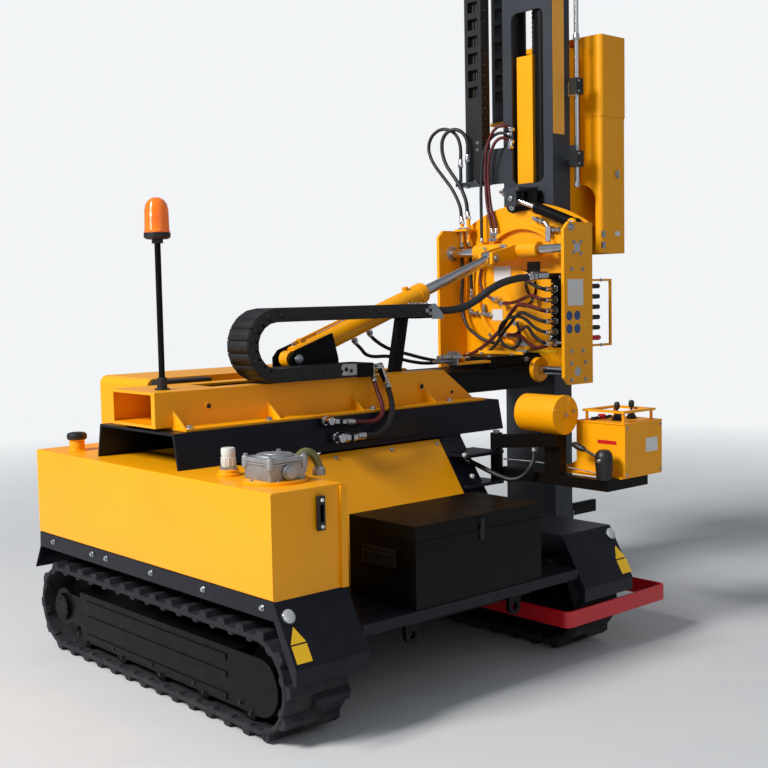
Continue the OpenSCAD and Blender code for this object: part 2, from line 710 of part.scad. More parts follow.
// Hood over the engine, hinged at its top edge by the saddle
module hood_shell(grow) {
    along_y(hood_y0 + grow, hood_y1 - grow) translate([hood_x0 + grow, hood_z0])
        union() {
            round_rect(hood_x1 - hood_x0 - 2 * grow, hood_z1 - hood_z0 - grow, 40);
            square([hood_x1 - hood_x0 - 2 * grow, 60]);
        }
}
module engine_hood() color([0.95, 0.6, 0.1]) place() {
    difference() {
        hood_shell(0);
        translate([0, 0, -1]) hood_shell(4);
    }
    for (x = hinge_x) difference() {
        union() {
            rod_x([x, hood_hinge[1], hood_hinge[2]], 28, 40);
            block([x, hood_hinge[1], hood_hinge[2] - 8], [x + 40, hood_y0 + 1, hood_hinge[2] + 8]);
        }
        rod_x([x - 1, hood_hinge[1], hood_hinge[2]], hinge_pin + 2 * hinge_gap, 42);
    }
}
module rear_grille() color([0.1, 0.1, 0.1]) place() {
    block([hood_x0 + 4, fender_rear - 20, platform_z], [hood_x1 - 4, fender_rear, hood_z0 - 0.3]);
    for (x = [hood_x0 + 4, hood_x1 - 44])
        block([x, hood_y0 + 4, hood_z0 - 46], [x + 40, fender_rear - 20, hood_z0 - 0.3]);
}
module air_box() color([0.08, 0.08, 0.08]) place()
    block([-640, beam_y1 + 12, beam_z0], [-360, saddle_y + flange_w / 2, 1262]);

// Red bar that stands round the front of the mast side track
guard_x0 = 532;
guard_x1 = 1258;
guard_z = 160;
guard_h = 74;
guard_t = 12;
guard_r = 34;
guard_side = 290;
guard_clear = 25;
guard_y0 = -track_len / 2 - guard_clear - guard_t;
module guard_bar() color([0.8, 0.05, 0.05]) place() {
    reach = cross_y[0] - guard_y0;
    wide = guard_x1 - guard_x0;
    t = guard_t;
    translate([guard_x0, guard_y0, guard_z]) linear_extrude(guard_h) intersection() {
        difference() {
            round_rect(wide, 2 * reach, guard_r);
            translate([t, t]) round_rect(wide - 2 * t, 2 * reach - 2 * t, guard_r - t);
        }
        union() {
            square([wide / 2, reach]);
            square([wide, guard_side]);
        }
    }
}

// Energy chain on the beam: two straight runs and the bend between them
link_h = 62;
chain_y0 = beam_y0 + 103 - 153;
chain_y1 = beam_y0 + 103;
chain_r = 165;
bend_x = -302;
chain_z = beam_z1 + 4;
chain_pitch = 58;
chain_low_x = 239;
chain_high_x = 640;
link_gap = 6;
link_cut = 9;
link_turn = 20;
// Corners of straight links round a bend, and the gaps that open between them
function round_bend(r, from, to) = [for (a = [from : sign(to - from) * link_turn : to]) r * [cos(a), sin(a)]];
function open_bend(r, from, to) = [for (a = [from : sign(to - from) * link_turn : to])
    each [r * [cos(a - 1), sin(a - 1)], (r - link_cut) * [cos(a), sin(a)], r * [cos(a + 1), sin(a + 1)]]];
function link_gaps(from, to, z) = [for (x = [from : sign(to - from) * chain_pitch : to])
    each [[x, z], [x + sign(to - from) * link_gap / 2, z - link_cut], [x + sign(to - from) * link_gap, z]]];
module chain_outline(x_low, x_high) {
    low = -chain_r + link_h;
    translate([bend_x, chain_z + chain_r]) polygon(concat(
        [[x_high - bend_x, chain_r]], link_gaps(x_high - bend_x - chain_pitch, chain_pitch / 2, chain_r),
        [[0, chain_r]], open_bend(chain_r, 90 + link_turn, 270 - link_turn), [[0, -chain_r]],
        [[x_low - bend_x, -chain_r], [x_low - bend_x, low]],
        link_gaps(x_low - bend_x - chain_pitch, chain_pitch / 2, low),
        round_bend(chain_r - link_h, 270, 90), [[x_high - bend_x, chain_r - link_h]]));
}
module beam_chain() color([0.07, 0.07, 0.08]) place()
    along_y(chain_y0, chain_y1) chain_outline(chain_low_x, chain_high_x);

// Plate that closes the chain's fixed end and takes its two hoses through
anchor_t = 10;
anchor_y1 = 55;
anchor_gap = 0.05;
chain_port_a = [chain_low_x + anchor_t, -70, 1262];
chain_port_b = [chain_low_x + anchor_t, -70, 1288];
module chain_anchor() color([0.07, 0.07, 0.08]) place() {
    gap = anchor_gap;
    block([chain_low_x + gap, chain_y0 - 6, beam_z1], [chain_low_x + anchor_t, anchor_y1, chain_z + link_h]);
    block([chain_low_x - 90, beam_y0, beam_z1], [chain_low_x + 1, anchor_y1, chain_z - gap]);
    block([chain_low_x - 90, chain_y0 - 6, beam_z1 + 1], [chain_low_x + 1, chain_y0 - gap, chain_z + link_h]);
    strut(chain_port_a + [4, 0, 0], before(saddle_route_a, 24), saddle_hose_d[0]);
    first_ferrule(saddle_route_a, saddle_hose_d[0], 30);
    strut(chain_port_b - [6, 0, 0], chain_port_b + [48, -8, 2], saddle_hose_d[1]);
    strut(chain_port_b + [42, -8, 6], before(saddle_route_b, 34), saddle_hose_d[1]);
    first_ferrule(saddle_route_b, saddle_hose_d[1], 40);
}

// Inner beam: the black box that slides out, with the lower shaft's bearing
bearing_d = 126;
manifold_x0 = 1140;
manifold_x1 = 1400;
module inner_beam() color([0.07, 0.08, 0.09]) place() difference() {
    union() {
        block([inner_x0, inner_y0, inner_z0], [inner_x1, inner_y1, inner_z1]);
        rod_y([shaft_x, inner_y0 - 28, shaft_z], bearing_d, inner_y1 - inner_y0 + 56);
        block([manifold_x0, inner_y0 + 20, inner_z1], [manifold_x1, inner_y1 - 20, inner_z1 + 60]);
        for (s = [-1, 1]) {
            y_side = beam_y + s * (inner_y1 - beam_y);
            block([inner_x0 + 20, min(y_side, y_side + s * pad_t), inner_z0 + 30],
                [inner_x0 + 20 + pad_len, max(y_side, y_side + s * pad_t), inner_z1 - 30]);
            block([inner_x0 + 20, beam_y + s * 132 - 24, inner_z0 - pad_t],
                [inner_x0 + 20 + pad_len, beam_y + s * 132 + 24, inner_z0 + 1]);
            block([inner_x0 + 20, beam_y + s * 132 - 24, inner_z1 - 1],
                [inner_x0 + 20 + pad_len, beam_y + s * 132 + 24, inner_z1 + pad_t]);
        }
    }
    block([inner_x0 - 1, inner_y0 + inner_t, inner_z0 + inner_t],
        [shaft_x - 90, inner_y1 - inner_t, inner_z1 - inner_t]);
    rod_y([shaft_x, inner_y0 - 60, shaft_z], shaft_d + 2 * shaft_gap, inner_y1 - inner_y0 + 120);
}

// Two black ears that carry the tilt cylinder's foot
tilt_foot = [-63, beam_y, 1337];
tilt_eye = [1313, beam_y, 1810];
tilt_pin_d = 36;
ear_t = 12;
ear_gap = 58;
tilt_barrel_d = 100;
tilt_bore = 80;
tilt_rod_d = 55;
tilt_barrel_len = 880;
tilt_gland = 40;
module tilt_bracket() color([0.07, 0.08, 0.09]) place() difference() {
    union() {
        for (s = [-1, 1]) along_y(beam_y + s * (ear_gap + ear_t / 2) - ear_t / 2,
            beam_y + s * (ear_gap + ear_t / 2) + ear_t / 2)
            polygon([[-110, inner_z1 + 12], [-110, 1345], [-80, 1378], [146, 1452],
                [180, 1330], [180, inner_z1 + 12]]);
        block([-130, beam_y - 80, inner_z1], [200, beam_y + 80, inner_z1 + 12]);
        rod_y([tilt_foot[0], beam_y - ear_gap - ear_t - 8, tilt_foot[2]], tilt_pin_d, 2 * (ear_gap + ear_t + 8));
    }
}

module chain_arm() color([0.07, 0.08, 0.09]) place() {
    x = 560;
    y0 = beam_y - slot_w / 2 + 2;
    along_y(y0, y0 + 40) polygon([[x - 60, inner_z1], [x, inner_z1],
        [x + 60, chain_z + 2 * chain_r - link_h], [x, chain_z + 2 * chain_r - link_h]]);
    clamp = carriage_route[0];
    shelf_z = chain_z + 2 * chain_r - link_h;
    block([x - 20, chain_y0, shelf_z - 8], [x + 80, y0 + 40, shelf_z]);
    block([x + 79, chain_y0, shelf_z - 8], [clamp[0] - 20, clamp[1] + 30, shelf_z]);
    block([chain_high_x + 2, clamp[1] - 18, shelf_z - 1], [clamp[0] - 20, clamp[1] + 30, clamp[2] + 26]);
    first_ferrule(carriage_route, carriage_hose_d, 26);
}

// Tilt cylinder, drawn along its own axis from its foot
tilt_angle = atan2(tilt_eye[2] - tilt_foot[2], tilt_eye[0] - tilt_foot[0]);
tilt_length = norm(tilt_eye - tilt_foot);
module on_tilt_axis() {
    translate(tilt_foot) rotate([0, -tilt_angle, 0]) children();
}
module tilt_barrel() color([0.95, 0.64, 0.04]) place() on_tilt_axis() difference() {
    union() {
        rod_x([30, 0, 0], tilt_barrel_d, tilt_barrel_len);
        rod_x([30 + tilt_barrel_len - tilt_gland, 0, 0], tilt_barrel_d + 8, tilt_gland);
        rod_y([0, -30, 0], 76, 60);
        rod_x([0, 0, 0], 60, 40);
        for (x = [90, tilt_barrel_len - 70]) rod_z([x, 0, 0], 34, tilt_barrel_d / 2 + 16);
    }
    rod_y([0, -40, 0], tilt_pin_d + 0.1, 80);
    rod_x([80, 0, 0], tilt_bore, tilt_barrel_len - 90);
    rod_x([tilt_barrel_len - 20, 0, 0], tilt_rod_d + 0.2, 60);
}
module tilt_rod() color([0.75, 0.75, 0.78]) place() on_tilt_axis() difference() {
    union() {
        rod_x([600, 0, 0], tilt_rod_d, tilt_length - 620);
        rod_y([tilt_length, -25, 0], 80, 50);
        rod_x([560, 0, 0], tilt_bore - 0.2, 40);
    }
    rod_y([tilt_length, -40, 0], tilt_pin_d + 20, 80);
}

// Sleeve on the upper shaft, with the clevis for the tilt cylinder's rod
module tilt_sleeve() color([0.95, 0.64, 0.04]) place() difference() {
    union() {
        rod_y([shaft_x, beam_y + 40 - sleeve_len / 2, upper_z], sleeve_d, sleeve_len);
        for (s = [-1, 1]) along_y(beam_y + s * 42 - 11, beam_y + s * 42 + 11) polygon([
            [tilt_eye[0] - 36, tilt_eye[2] - 30], [tilt_eye[0] - 36, tilt_eye[2] + 32],
            [shaft_x, upper_z + 38], [shaft_x, upper_z - 38]]);
        rod_y([tilt_eye[0], beam_y - 55, tilt_eye[2]], tilt_pin_d, 110);
    }
    rod_y([shaft_x, plate_y0, upper_z], shaft_d + 2 * shaft_gap, carriage_w);
}

// Carriage: two side plates, an arched back plate and the slewing ring
arch_r = 874;
arch_z = 2120;
back_t = 16;
back_z0 = 1180;
notch_r = 150;
notch_drop = 40;
bulkhead_x0 = 1520;
bulkhead_z = 1984;
module carriage_frame() color([0.95, 0.64, 0.04]) place() {
    c = 40;
    for (y = [plate_y0, plate_y1 - plate_t]) along_y(y, y + plate_t) difference() {
        polygon([[plate_x0 + c, plate_z0], [plate_x1, plate_z0], [plate_x1, plate_z1],
            [plate_x0 + c, plate_z1], [plate_x0, plate_z1 - c], [plate_x0, plate_z0 + c]]);
        for (z = [shaft_z, upper_z]) translate([shaft_x, z]) circle(d = shaft_d);
    }
    along_x(plate_x1 - back_t, plate_x1) difference() {
        intersection() {
            translate([plate_y0 + plate_t - 1, back_z0]) square([carriage_w - 2 * plate_t + 2, 1000]);
            translate([carriage_y, arch_z - arch_r]) circle(r = arch_r, $fn = 96);
        }
        translate([plate_y0 + plate_t + 10, 1320]) square([110, 430]);
        translate([slew_y, slew_z]) circle(d = 200);
        translate([beam_y, shaft_z - notch_drop]) circle(r = notch_r);
    }
    block([bulkhead_x0, mast_route_b[0][1] - 30, bulkhead_z],
        [plate_x1 - back_t + 1, plate_y1 - plate_t + 1, bulkhead_z + 12]);
    for (end = [[mast_route_a, mast_hose_d[0]], [mast_route_b, mast_hose_d[1]]]) {
        foot = before(end[0], 44);
        first_ferrule(end[0], end[1], 50);
        rod_z([foot[0], foot[1], bulkhead_z - 60], end[1], foot[2] + 60 - bulkhead_z);
    }
    clamp = past(feed_route, 24);
    last_ferrule(feed_route, feed_hose_d, 30);
    block([clamp[0] - 18, clamp[1] - 20, clamp[2] - 20], [plate_x1 - back_t + 1, clamp[1] + 20, clamp[2]]);
    translate([plate_x1 - back_t - 30, slew_y, slew_z]) rotate([0, 90, 0]) difference() {
        cylinder(d = ring_d, h = 30, $fn = 96);
        translate([0, 0, -1]) cylinder(d = ring_d - 40, h = 32, $fn = 96);
    }
    for (s = [-1, 1]) {
        x = swing_foot[0] + s * (swing_ear_x + swing_ear_t / 2) - swing_ear_t / 2;
        wall_y = plate_y0 + plate_t - 1;
        along_x(x, x + swing_ear_t) {
            translate([wall_y, swing_foot[2] - 90]) square([30, 88]);
            polygon([[wall_y + 29, swing_foot[2] - 90], [swing_foot[1] + 20, swing_foot[2] - 20],
                [swing_foot[1], swing_foot[2]], [wall_y + 29, swing_foot[2] - 2]]);
            translate([swing_foot[1], swing_foot[2]]) circle(r = 28);
        }
    }
    rod_x([swing_foot[0] - swing_ear_x - swing_ear_t - 4, swing_foot[1], swing_foot[2]],
        swing_pin_d, 2 * (swing_ear_x + swing_ear_t + 4));
    guard_x = plate_x1 + 170;
    for (z = [1336, 1684]) block([plate_x1 - 2, plate_y0 + 4, z - 6], [guard_x, plate_y0 + 16, z + 6]);
    block([guard_x - 12, plate_y0 + 4, 1336], [guard_x, plate_y0 + 16, 1684]);
}
module guide_shafts() color([0.8, 0.8, 0.82]) place()
    for (z = [shaft_z, upper_z]) rod_y([shaft_x, plate_y0, z], shaft_d, carriage_w);

// Valve bank inside the near plate, its levers standing out at the mast side
lever_count = 6;
section_h = 50;
section_pitch = 56;
bank_z0 = 1332;
bank_x0 = 1410;
bank_x1 = plate_x1 - 40;
bank_y0 = plate_y0 + plate_t;
bank_w = 85;
port_len = 60;
module valve_bank() color([0.06, 0.06, 0.07]) place() {
    hose_end = carriage_route[len(carriage_route) - 1];
    block([bank_x0 + 6, bank_y0, bank_z0], [bank_x1 - 6, bank_y0 + bank_w - 8, bank_z0 + 7 * section_pitch]);
    for (i = [0 : lever_count]) {
        z = bank_z0 + i * section_pitch + (section_pitch - section_h) / 2;
        block([bank_x0, bank_y0 + 4, z], [bank_x1, bank_y0 + bank_w, z + section_h]);
    }
    for (i = [0 : lever_count - 1])
        rod_x([bank_x0 - port_len, bank_y0 + bank_w / 2, bank_z0 + (i + 0.5) * section_pitch], 26, port_len + 7);
    last_ferrule(carriage_route, carriage_hose_d, 60);
    rod_x(hose_end + [50, -5, 5], carriage_hose_d - 6, bank_x0 - 43 - hose_end[0]);
}
module valve_levers() color([0.06, 0.06, 0.07]) place()
    for (i = [0 : lever_count - 1]) {
        p = [bank_x1, bank_y0 + 50, bank_z0 + 40 + i * section_pitch];
        rod_x(p, 12, 110);
        rod_x(p + [100, 0, 0], 26, 80);
    }

// Swing cylinder across the top of the carriage
swing_foot = [1560, -236, 1985];
swing_eye = [1560, 190, 2145];
swing_pin_d = 20;
swing_ear_t = 12;
swing_ear_x = 22;
swing_length = norm(swing_eye - swing_foot);
swing_rise = asin((swing_eye[2] - swing_foot[2]) / swing_length);
swing_turn = atan2(swing_eye[1] - swing_foot[1], swing_eye[0] - swing_foot[0]);
module on_swing_axis() {
    translate(swing_foot) rotate([0, -swing_rise, swing_turn]) children();
}
module swing_barrel() color([0.06, 0.06, 0.07]) place() on_swing_axis() difference() {
    union() {
        rod_x([28, 0, 0], 60, 262);
        rod_y([0, -18, 0], 60, 36);
        rod_x([0, 0, 0], 36, 30);
    }
    rod_y([0, -19, 0], swing_pin_d + 0.2, 38);
    rod_x([40, 0, 0], 46, 230);
    rod_x([265, 0, 0], 28.2, 30);
}
module swing_rod() color([0.75, 0.75, 0.78]) place() on_swing_axis() difference() {
    union() {
        rod_x([160, 0, 0], 28, swing_length - 180);
        rod_x([115, 0, 0], 45.8, 50);
        rod_y([swing_length, -18, 0], 46, 36);
    }
    rod_y([swing_length, -19, 0], swing_pin_d + 4, 38);
}

// Swing plate between the carriage and the mast, with the ear for the cylinder
module swing_plate() color([0.09, 0.1, 0.12]) place() {
    translate([plate_x1 + 2, slew_y, slew_z]) rotate([0, 90, 0]) cylinder(d = 560, h = mast_x0 - plate_x1 - 2, $fn = 96);
    translate([plate_x1 - back_t - 20, slew_y, slew_z]) rotate([0, 90, 0]) cylinder(d = 199.8, h = back_t + 30);
}

// Mast: a folded channel open to the hammer, with a long window in its face
module mast_column() color([0.22, 0.24, 0.26]) place() {
    lip = 50;
    difference() {
        translate([mast_x0, mast_y0, mast_foot_z]) linear_extrude(mast_top_z - mast_foot_z)
            polygon([[0, 0], [mast_d, 0], [mast_d, lip], [mast_d - mast_t, lip],
                [mast_d - mast_t, mast_t], [mast_t, mast_t], [mast_t, mast_w - mast_t],
                [mast_d - mast_t, mast_w - mast_t], [mast_d - mast_t, mast_w - lip],
                [mast_d, mast_w - lip], [mast_d, mast_w], [0, mast_w]]);
        along_x(mast_x0 - 1, mast_x0 + mast_t + 1) translate([slew_y - window_w / 2, window_z0])
            round_rect(window_w, window_z1 - window_z0, 40);
    }
    block([mast_x0, mast_y0, mast_top_z], [mast_x1, mast_y1, mast_top_z + mast_t]);
    ear_x = swing_eye[0];
    reach = swing_ear_x + swing_ear_t;
    for (x = [ear_x - reach, ear_x + swing_ear_x])
        block([x, swing_eye[1] - 40, swing_eye[2] - 40],
            [x + swing_ear_t, swing_eye[1] + 40, swing_eye[2] + 41]);
    rod_x([ear_x - reach - 4, swing_eye[1], swing_eye[2]], swing_pin_d, 2 * reach + 8);
    block([ear_x - reach, swing_eye[1] - 60, swing_eye[2] + 40],
        [mast_x0 + 1, swing_eye[1] + 60, swing_eye[2] + 60]);
    block([mast_x0, mast_y1 - 1, vchain_z0 - foot_t], [mast_x0 + 40, vchain_y0, vchain_z0 + 180]);
    translate([mast_x0 - foot_reach, vchain_y0 - 20, vchain_z0 - foot_t]) linear_extrude(foot_t)
        round_rect(foot_reach + vchain_h, vchain_w + 60, 20);
    for (end = [[mast_route_a, mast_hose_d[0]], [mast_route_b, mast_hose_d[1]]]) {
        top = past(end[0], 44);
        last_ferrule(end[0], end[1], 50);
        rod_z([top[0], top[1], vchain_z0 - 1], end[1], top[2] + 1 - vchain_z0);
    }
    port = before(feed_route, 26);
    first_ferrule(feed_route, feed_hose_d, 30);
    strut([mast_x0 + 2, port[1], port[2] - 60], [port[0] - 4, port[1], port[2] - 60], feed_hose_d);
    strut([port[0], port[1], port[2] - 64], port, feed_hose_d);
}
feed_x = mast_x0 + 62;
feed_y = slew_y - 62;
feed_z0 = mast_foot_z + 200;
feed_d = 88;
feed_len = 3600;
module mast_cylinder() color([0.05, 0.05, 0.06]) place() {
    rod_z([feed_x, feed_y, feed_z0], feed_d, feed_len);
    for (z = [feed_z0 + 40, feed_z0 + feed_len - 80])
        block([mast_x0 + mast_t, feed_y - 30, z], [feed_x, feed_y + 30, z + 40]);
}
jaw_gap = 172;
jaw_t = 24;
jaw_z0 = 330;
jaw_z1 = 400;
jaw_x1 = drive_x + 75;
module pile_guide() color([0.09, 0.1, 0.12]) place() {
    w = jaw_gap / 2 + jaw_t;
    block([mast_x1, mast_y0 + 8, jaw_z0], [mast_x1 + 20, mast_y1 - 8, jaw_z1]);
    for (s = [-1, 1]) block([mast_x1 + 19, slew_y + s * (w - jaw_t / 2) - jaw_t / 2, jaw_z0],
        [jaw_x1, slew_y + s * (w - jaw_t / 2) + jaw_t / 2, jaw_z1]);
}
module trip_tube() color([0.75, 0.76, 0.78]) place() {
    x = mast_x1 + 5;
    y = mast_y0 - 45;
    rod_z([x, y, 2200], 26, 1500);
    for (z = [2390, 2735, 3500]) block([x - 35, y - 25, z - 40], [x - 13.2, mast_y0, z + 40]);
}

chain_end_z = hammer_z + 800;
// Energy chain on the mast: up from its bracket, over, and down to the hammer
rung_pitch = 97;
rung_h = 34;
band_w = 26;
module mast_chain() color([0.07, 0.07, 0.08]) place() difference() {
    along_y(vchain_y0, vchain_y0 + vchain_w) translate([mast_x0 + vchain_r, vchain_top]) polygon(concat(
        [[-vchain_r, vchain_z0 - vchain_top]], round_bend(vchain_r, 180, 0),
        [[vchain_r, chain_end_z + slide_gap - vchain_top],
            [vchain_r - vchain_h, chain_end_z + slide_gap - vchain_top]],
        round_bend(vchain_r - vchain_h, 0, 180), [[vchain_h - vchain_r, vchain_z0 - vchain_top]]));
    for (z = [vchain_z0 + 490 : rung_pitch : vchain_top - 30])
        block([mast_x0 - 1, vchain_y0 + band_w, z],
            [mast_x0 + vchain_h + 1, vchain_y0 + vchain_w - band_w, z + rung_pitch - rung_h]);
    for (z = [chain_end_z + 120 : rung_pitch : vchain_top - 30])
        block([mast_x0 + 2 * vchain_r - vchain_h - 1, vchain_y0 + band_w, z],
            [mast_x0 + 2 * vchain_r + 1, vchain_y0 + vchain_w - band_w, z + rung_pitch - rung_h]);
}

// Hammer housing: sheet cover with an open mast side, a cap and a cut corner
hammer_edge = 22;
cap_proud = 4;
hammer_cut_h = 383;
module hammer_housing() color([0.95, 0.64, 0.04]) place() {
    top = hammer_z + hammer_h;
    t = hammer_t;
    r = hammer_edge;
    proud = cap_proud;
    translate([hammer_x0, hammer_y0, 0]) difference() {
        union() {
            translate([proud, proud, hammer_z]) linear_extrude(hammer_h - cap_h + 1)
                round_rect(hammer_d - 2 * proud, hammer_w - 2 * proud, r);
            translate([0, 0, top - cap_h]) linear_extrude(cap_h) round_rect(hammer_d, hammer_w, r + proud);
        }
        translate([t + proud, t + proud, hammer_z - 1]) linear_extrude(hammer_h - t + 1)
            round_rect(hammer_d - 2 * (t + proud), hammer_w - 2 * (t + proud), r - t / 2);
        along_x(-1, t + proud + 1) {
            translate([150, hammer_z - 1]) square([hammer_w - 300, hammer_h - t + 1]);
            translate([46, hammer_z - hammer_cut_h]) round_rect(hammer_w - 92, 2 * hammer_cut_h, 90);
        }
    }
}
module hammer_slide() color([0.9, 0.62, 0.05]) place() {
    top = hammer_z + hammer_h - 60;
    block([mast_x1 + slide_gap, slew_y - 150, hammer_z + 120], [mast_x1 + 30, slew_y + 150, top]);
    block([mast_x0 + mast_t + 12, slew_y - 15, hammer_z + 200], [mast_x1 + 2, slew_y + 100, top - 40]);
    block([mast_x1 + 30, slew_y - 130, hammer_z + 160], [hammer_x1 - hammer_t - 8, slew_y + 130, top]);
    side = hammer_t + cap_proud + 0.2;
    block([hammer_x0 + 30, hammer_y0 + side, hammer_z + 500],
        [hammer_x0 + 66, hammer_y1 - side, hammer_z + 560]);
    block([mast_x0 + 2 * vchain_r - vchain_h - 20, hammer_y1, hammer_z + 780],
        [mast_x0 + 2 * vchain_r, vchain_y0 + vchain_w, chain_end_z]);
}
drive_d = 150;
drive_z = hammer_z - 40;
module drive_cap() color([0.12, 0.12, 0.13]) place()
    rod_z([drive_x, slew_y, drive_z], drive_d, 200);

// Console on a swinging arm at the front of the mast side
console_x = 943;
console_y = -1018;
console_top = 1020;
tray_t = 10;
tray_y1 = -580;
post_y = -720;
upper_arm_z = 868;
drum_gap = 16;
drum_x = console_x - drum_gap - drum_d / 2;
drum_y0 = -760;
drum_z = 1057;
lid_l = 24;
module console_arm() color([0.08, 0.08, 0.09]) place() {
    bottom = console_top - console_h;
    rod_z([arm_hinge[0], arm_hinge[1], arm_tube_z0], 60, arm_tube_z1 - arm_tube_z0);
    rod_z([arm_hinge[0], arm_hinge[1], arm_lugs_z[0] - 4], arm_pin_d, arm_lugs_z[1] + lug_t + 8 - arm_lugs_z[0]);
    block([arm_hinge[0] + 10, console_y + 20, bottom - 50], [arm_hinge[0] + 60, arm_hinge[1], bottom]);
    block([arm_hinge[0] + 59, console_y + 20, bottom - 50], [console_x + 200, console_y + 120, bottom]);
    block([arm_hinge[0] + 10, post_y, bottom - 1], [arm_hinge[0] + 60, post_y + 90, drum_z - drum_d / 2 - 2]);
    rod_z([arm_hinge[0], arm_hinge[1], arm_lugs_z[1] + lug_t + 4], 60, 80);
    along_x(arm_hinge[0] - 22, arm_hinge[0] + 28) polygon([
        [arm_hinge[1], upper_arm_z], [arm_hinge[1], upper_arm_z + 66],
        [post_y + 45, drum_z - drum_d / 2 - 2], [post_y, drum_z - drum_d / 2 - 2],
        [post_y, drum_z - drum_d / 2 - 60]]);
    last_ferrule(console_route, console_hose_d, 30);
}
module console_box() color([0.95, 0.64, 0.04]) place() {
    block([console_x, console_y, console_top - console_h],
        [console_x + console_w, console_y + console_l, console_top]);
    for (x = [console_x + 35, console_x + console_w - 35], y = [console_y + 35, console_y + console_l - 35])
        rod_z([x, y, console_top - 1], 14, 48);
    translate([console_x + 20, console_y + 20, console_top + 46]) difference() {
        cube([console_w - 40, console_l - 40, 10]);
        translate([30, 30, -1]) cube([console_w - 100, console_l - 100, 12]);
    }
    bottom = console_top - console_h;
    block([console_x - 24, console_y, bottom], [console_x + 60, tray_y1, bottom + tray_t]);
    along_x(console_x, console_x + tray_t) polygon([[console_y + console_l - 1, bottom],
        [tray_y1, bottom], [tray_y1, bottom + 95], [tray_y1 - 16, bottom + 95],
        [console_y + console_l + 60, bottom + 30], [console_y + console_l - 1, bottom + 60]]);
}
module console_drum() color([0.95, 0.64, 0.04]) place() {
    rod_y([drum_x, drum_y0 + lid_l, drum_z], drum_d, drum_l - lid_l);
    rod_y([drum_x, drum_y0, drum_z], drum_d + 6, lid_l);
    translate([drum_x, drum_y0, drum_z]) for (a = [20, 110]) rotate([0, a, 0])
        block([-drum_d / 2 + 6, -5, -4], [drum_d / 2 - 6, 1, 4]);
    block([drum_x - 20, post_y, drum_z - drum_d / 2 - 2], [drum_x + 60, post_y + 90, drum_z - drum_d / 4]);
    block([drum_x, drum_y0 + 40, drum_z - 50], [console_x, drum_y0 + 90, drum_z - 38]);
}

// Hoses between the pieces, each with its own route
module saddle_hose_a() color([0.08, 0.07, 0.07]) place() hose(saddle_route_a, saddle_hose_d[0]);
module saddle_hose_b() color([0.08, 0.07, 0.07]) place() hose(saddle_route_b, saddle_hose_d[1]);
module carriage_hose() color([0.07, 0.07, 0.07]) place() hose(carriage_route, carriage_hose_d);
module mast_hose_a() color([0.07, 0.07, 0.07]) place() hose(mast_route_a, mast_hose_d[0]);
module mast_hose_b() color([0.07, 0.07, 0.07]) place() hose(mast_route_b, mast_hose_d[1]);
module feed_hose() color([0.25, 0.08, 0.08]) place() hose(feed_route, feed_hose_d);
module console_hose() color([0.07, 0.07, 0.07]) place() hose(console_route, console_hose_d);

track_left();
track_right();
track_frame_left();
track_frame_right();
running_gear_left();
running_gear_right();
chassis_frame();
platform();
fender_left();
fender_right();
oil_tank();
filler_neck();
return_filter();
level_gauge();
toolbox_body();
toolbox_lid();
front_panel();
tower_frame();
saddle();
outer_beam();
beacon_pole();
beacon_lamp();
engine_block();
rear_grille();
engine_hood();
air_box();
guard_bar();
beam_chain();
chain_anchor();
inner_beam();
tilt_bracket();
chain_arm();
tilt_barrel();
tilt_rod();
tilt_sleeve();
carriage_frame();
guide_shafts();
valve_bank();
valve_levers();
swing_barrel();
swing_rod();
swing_plate();
mast_column();
mast_cylinder();
pile_guide();
trip_tube();
mast_chain();
hammer_housing();
hammer_slide();
drive_cap();
console_arm();
console_box();
console_drum();
saddle_hose_a();
saddle_hose_b();
carriage_hose();
mast_hose_a();
mast_hose_b();
feed_hose();
console_hose();
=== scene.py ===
"""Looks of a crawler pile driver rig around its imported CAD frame."""
import json
import math

import bmesh
import bpy
from mathutils import Matrix, Vector

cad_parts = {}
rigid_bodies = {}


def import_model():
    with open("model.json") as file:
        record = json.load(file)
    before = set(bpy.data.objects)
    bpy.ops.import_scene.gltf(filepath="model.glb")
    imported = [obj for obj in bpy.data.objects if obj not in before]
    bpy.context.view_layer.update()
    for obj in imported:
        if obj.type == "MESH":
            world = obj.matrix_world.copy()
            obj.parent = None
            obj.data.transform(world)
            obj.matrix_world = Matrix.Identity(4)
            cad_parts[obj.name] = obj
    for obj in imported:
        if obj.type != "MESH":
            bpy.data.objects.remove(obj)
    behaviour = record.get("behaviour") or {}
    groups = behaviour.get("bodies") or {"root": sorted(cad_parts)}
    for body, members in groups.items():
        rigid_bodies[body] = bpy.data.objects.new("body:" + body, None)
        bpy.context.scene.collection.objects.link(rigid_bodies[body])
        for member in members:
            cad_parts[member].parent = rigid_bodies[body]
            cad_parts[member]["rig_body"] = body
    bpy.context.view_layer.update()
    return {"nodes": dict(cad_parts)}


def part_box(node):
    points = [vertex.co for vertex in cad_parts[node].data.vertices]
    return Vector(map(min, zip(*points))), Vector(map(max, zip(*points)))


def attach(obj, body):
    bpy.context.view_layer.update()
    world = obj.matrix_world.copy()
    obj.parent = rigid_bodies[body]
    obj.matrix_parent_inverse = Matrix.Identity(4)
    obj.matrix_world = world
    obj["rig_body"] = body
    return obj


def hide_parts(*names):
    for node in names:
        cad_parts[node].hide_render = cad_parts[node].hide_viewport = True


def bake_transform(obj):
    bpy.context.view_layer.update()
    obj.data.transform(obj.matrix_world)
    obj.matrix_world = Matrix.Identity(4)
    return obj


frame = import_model()

# Camera
# It stands in front of the tank's corner at a grown person's eye height, and looks
# slightly down. Every place in this file is in millimetres from the ground between the
# two tracks, as on a workshop drawing, and at() turns it to the frame's metres.
scene = bpy.context.scene
tracks = (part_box("track_left"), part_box("track_right"))
middle = Vector(((tracks[0][0].x + tracks[1][1].x) / 2, (tracks[0][0].y + tracks[0][1].y) / 2, 0))


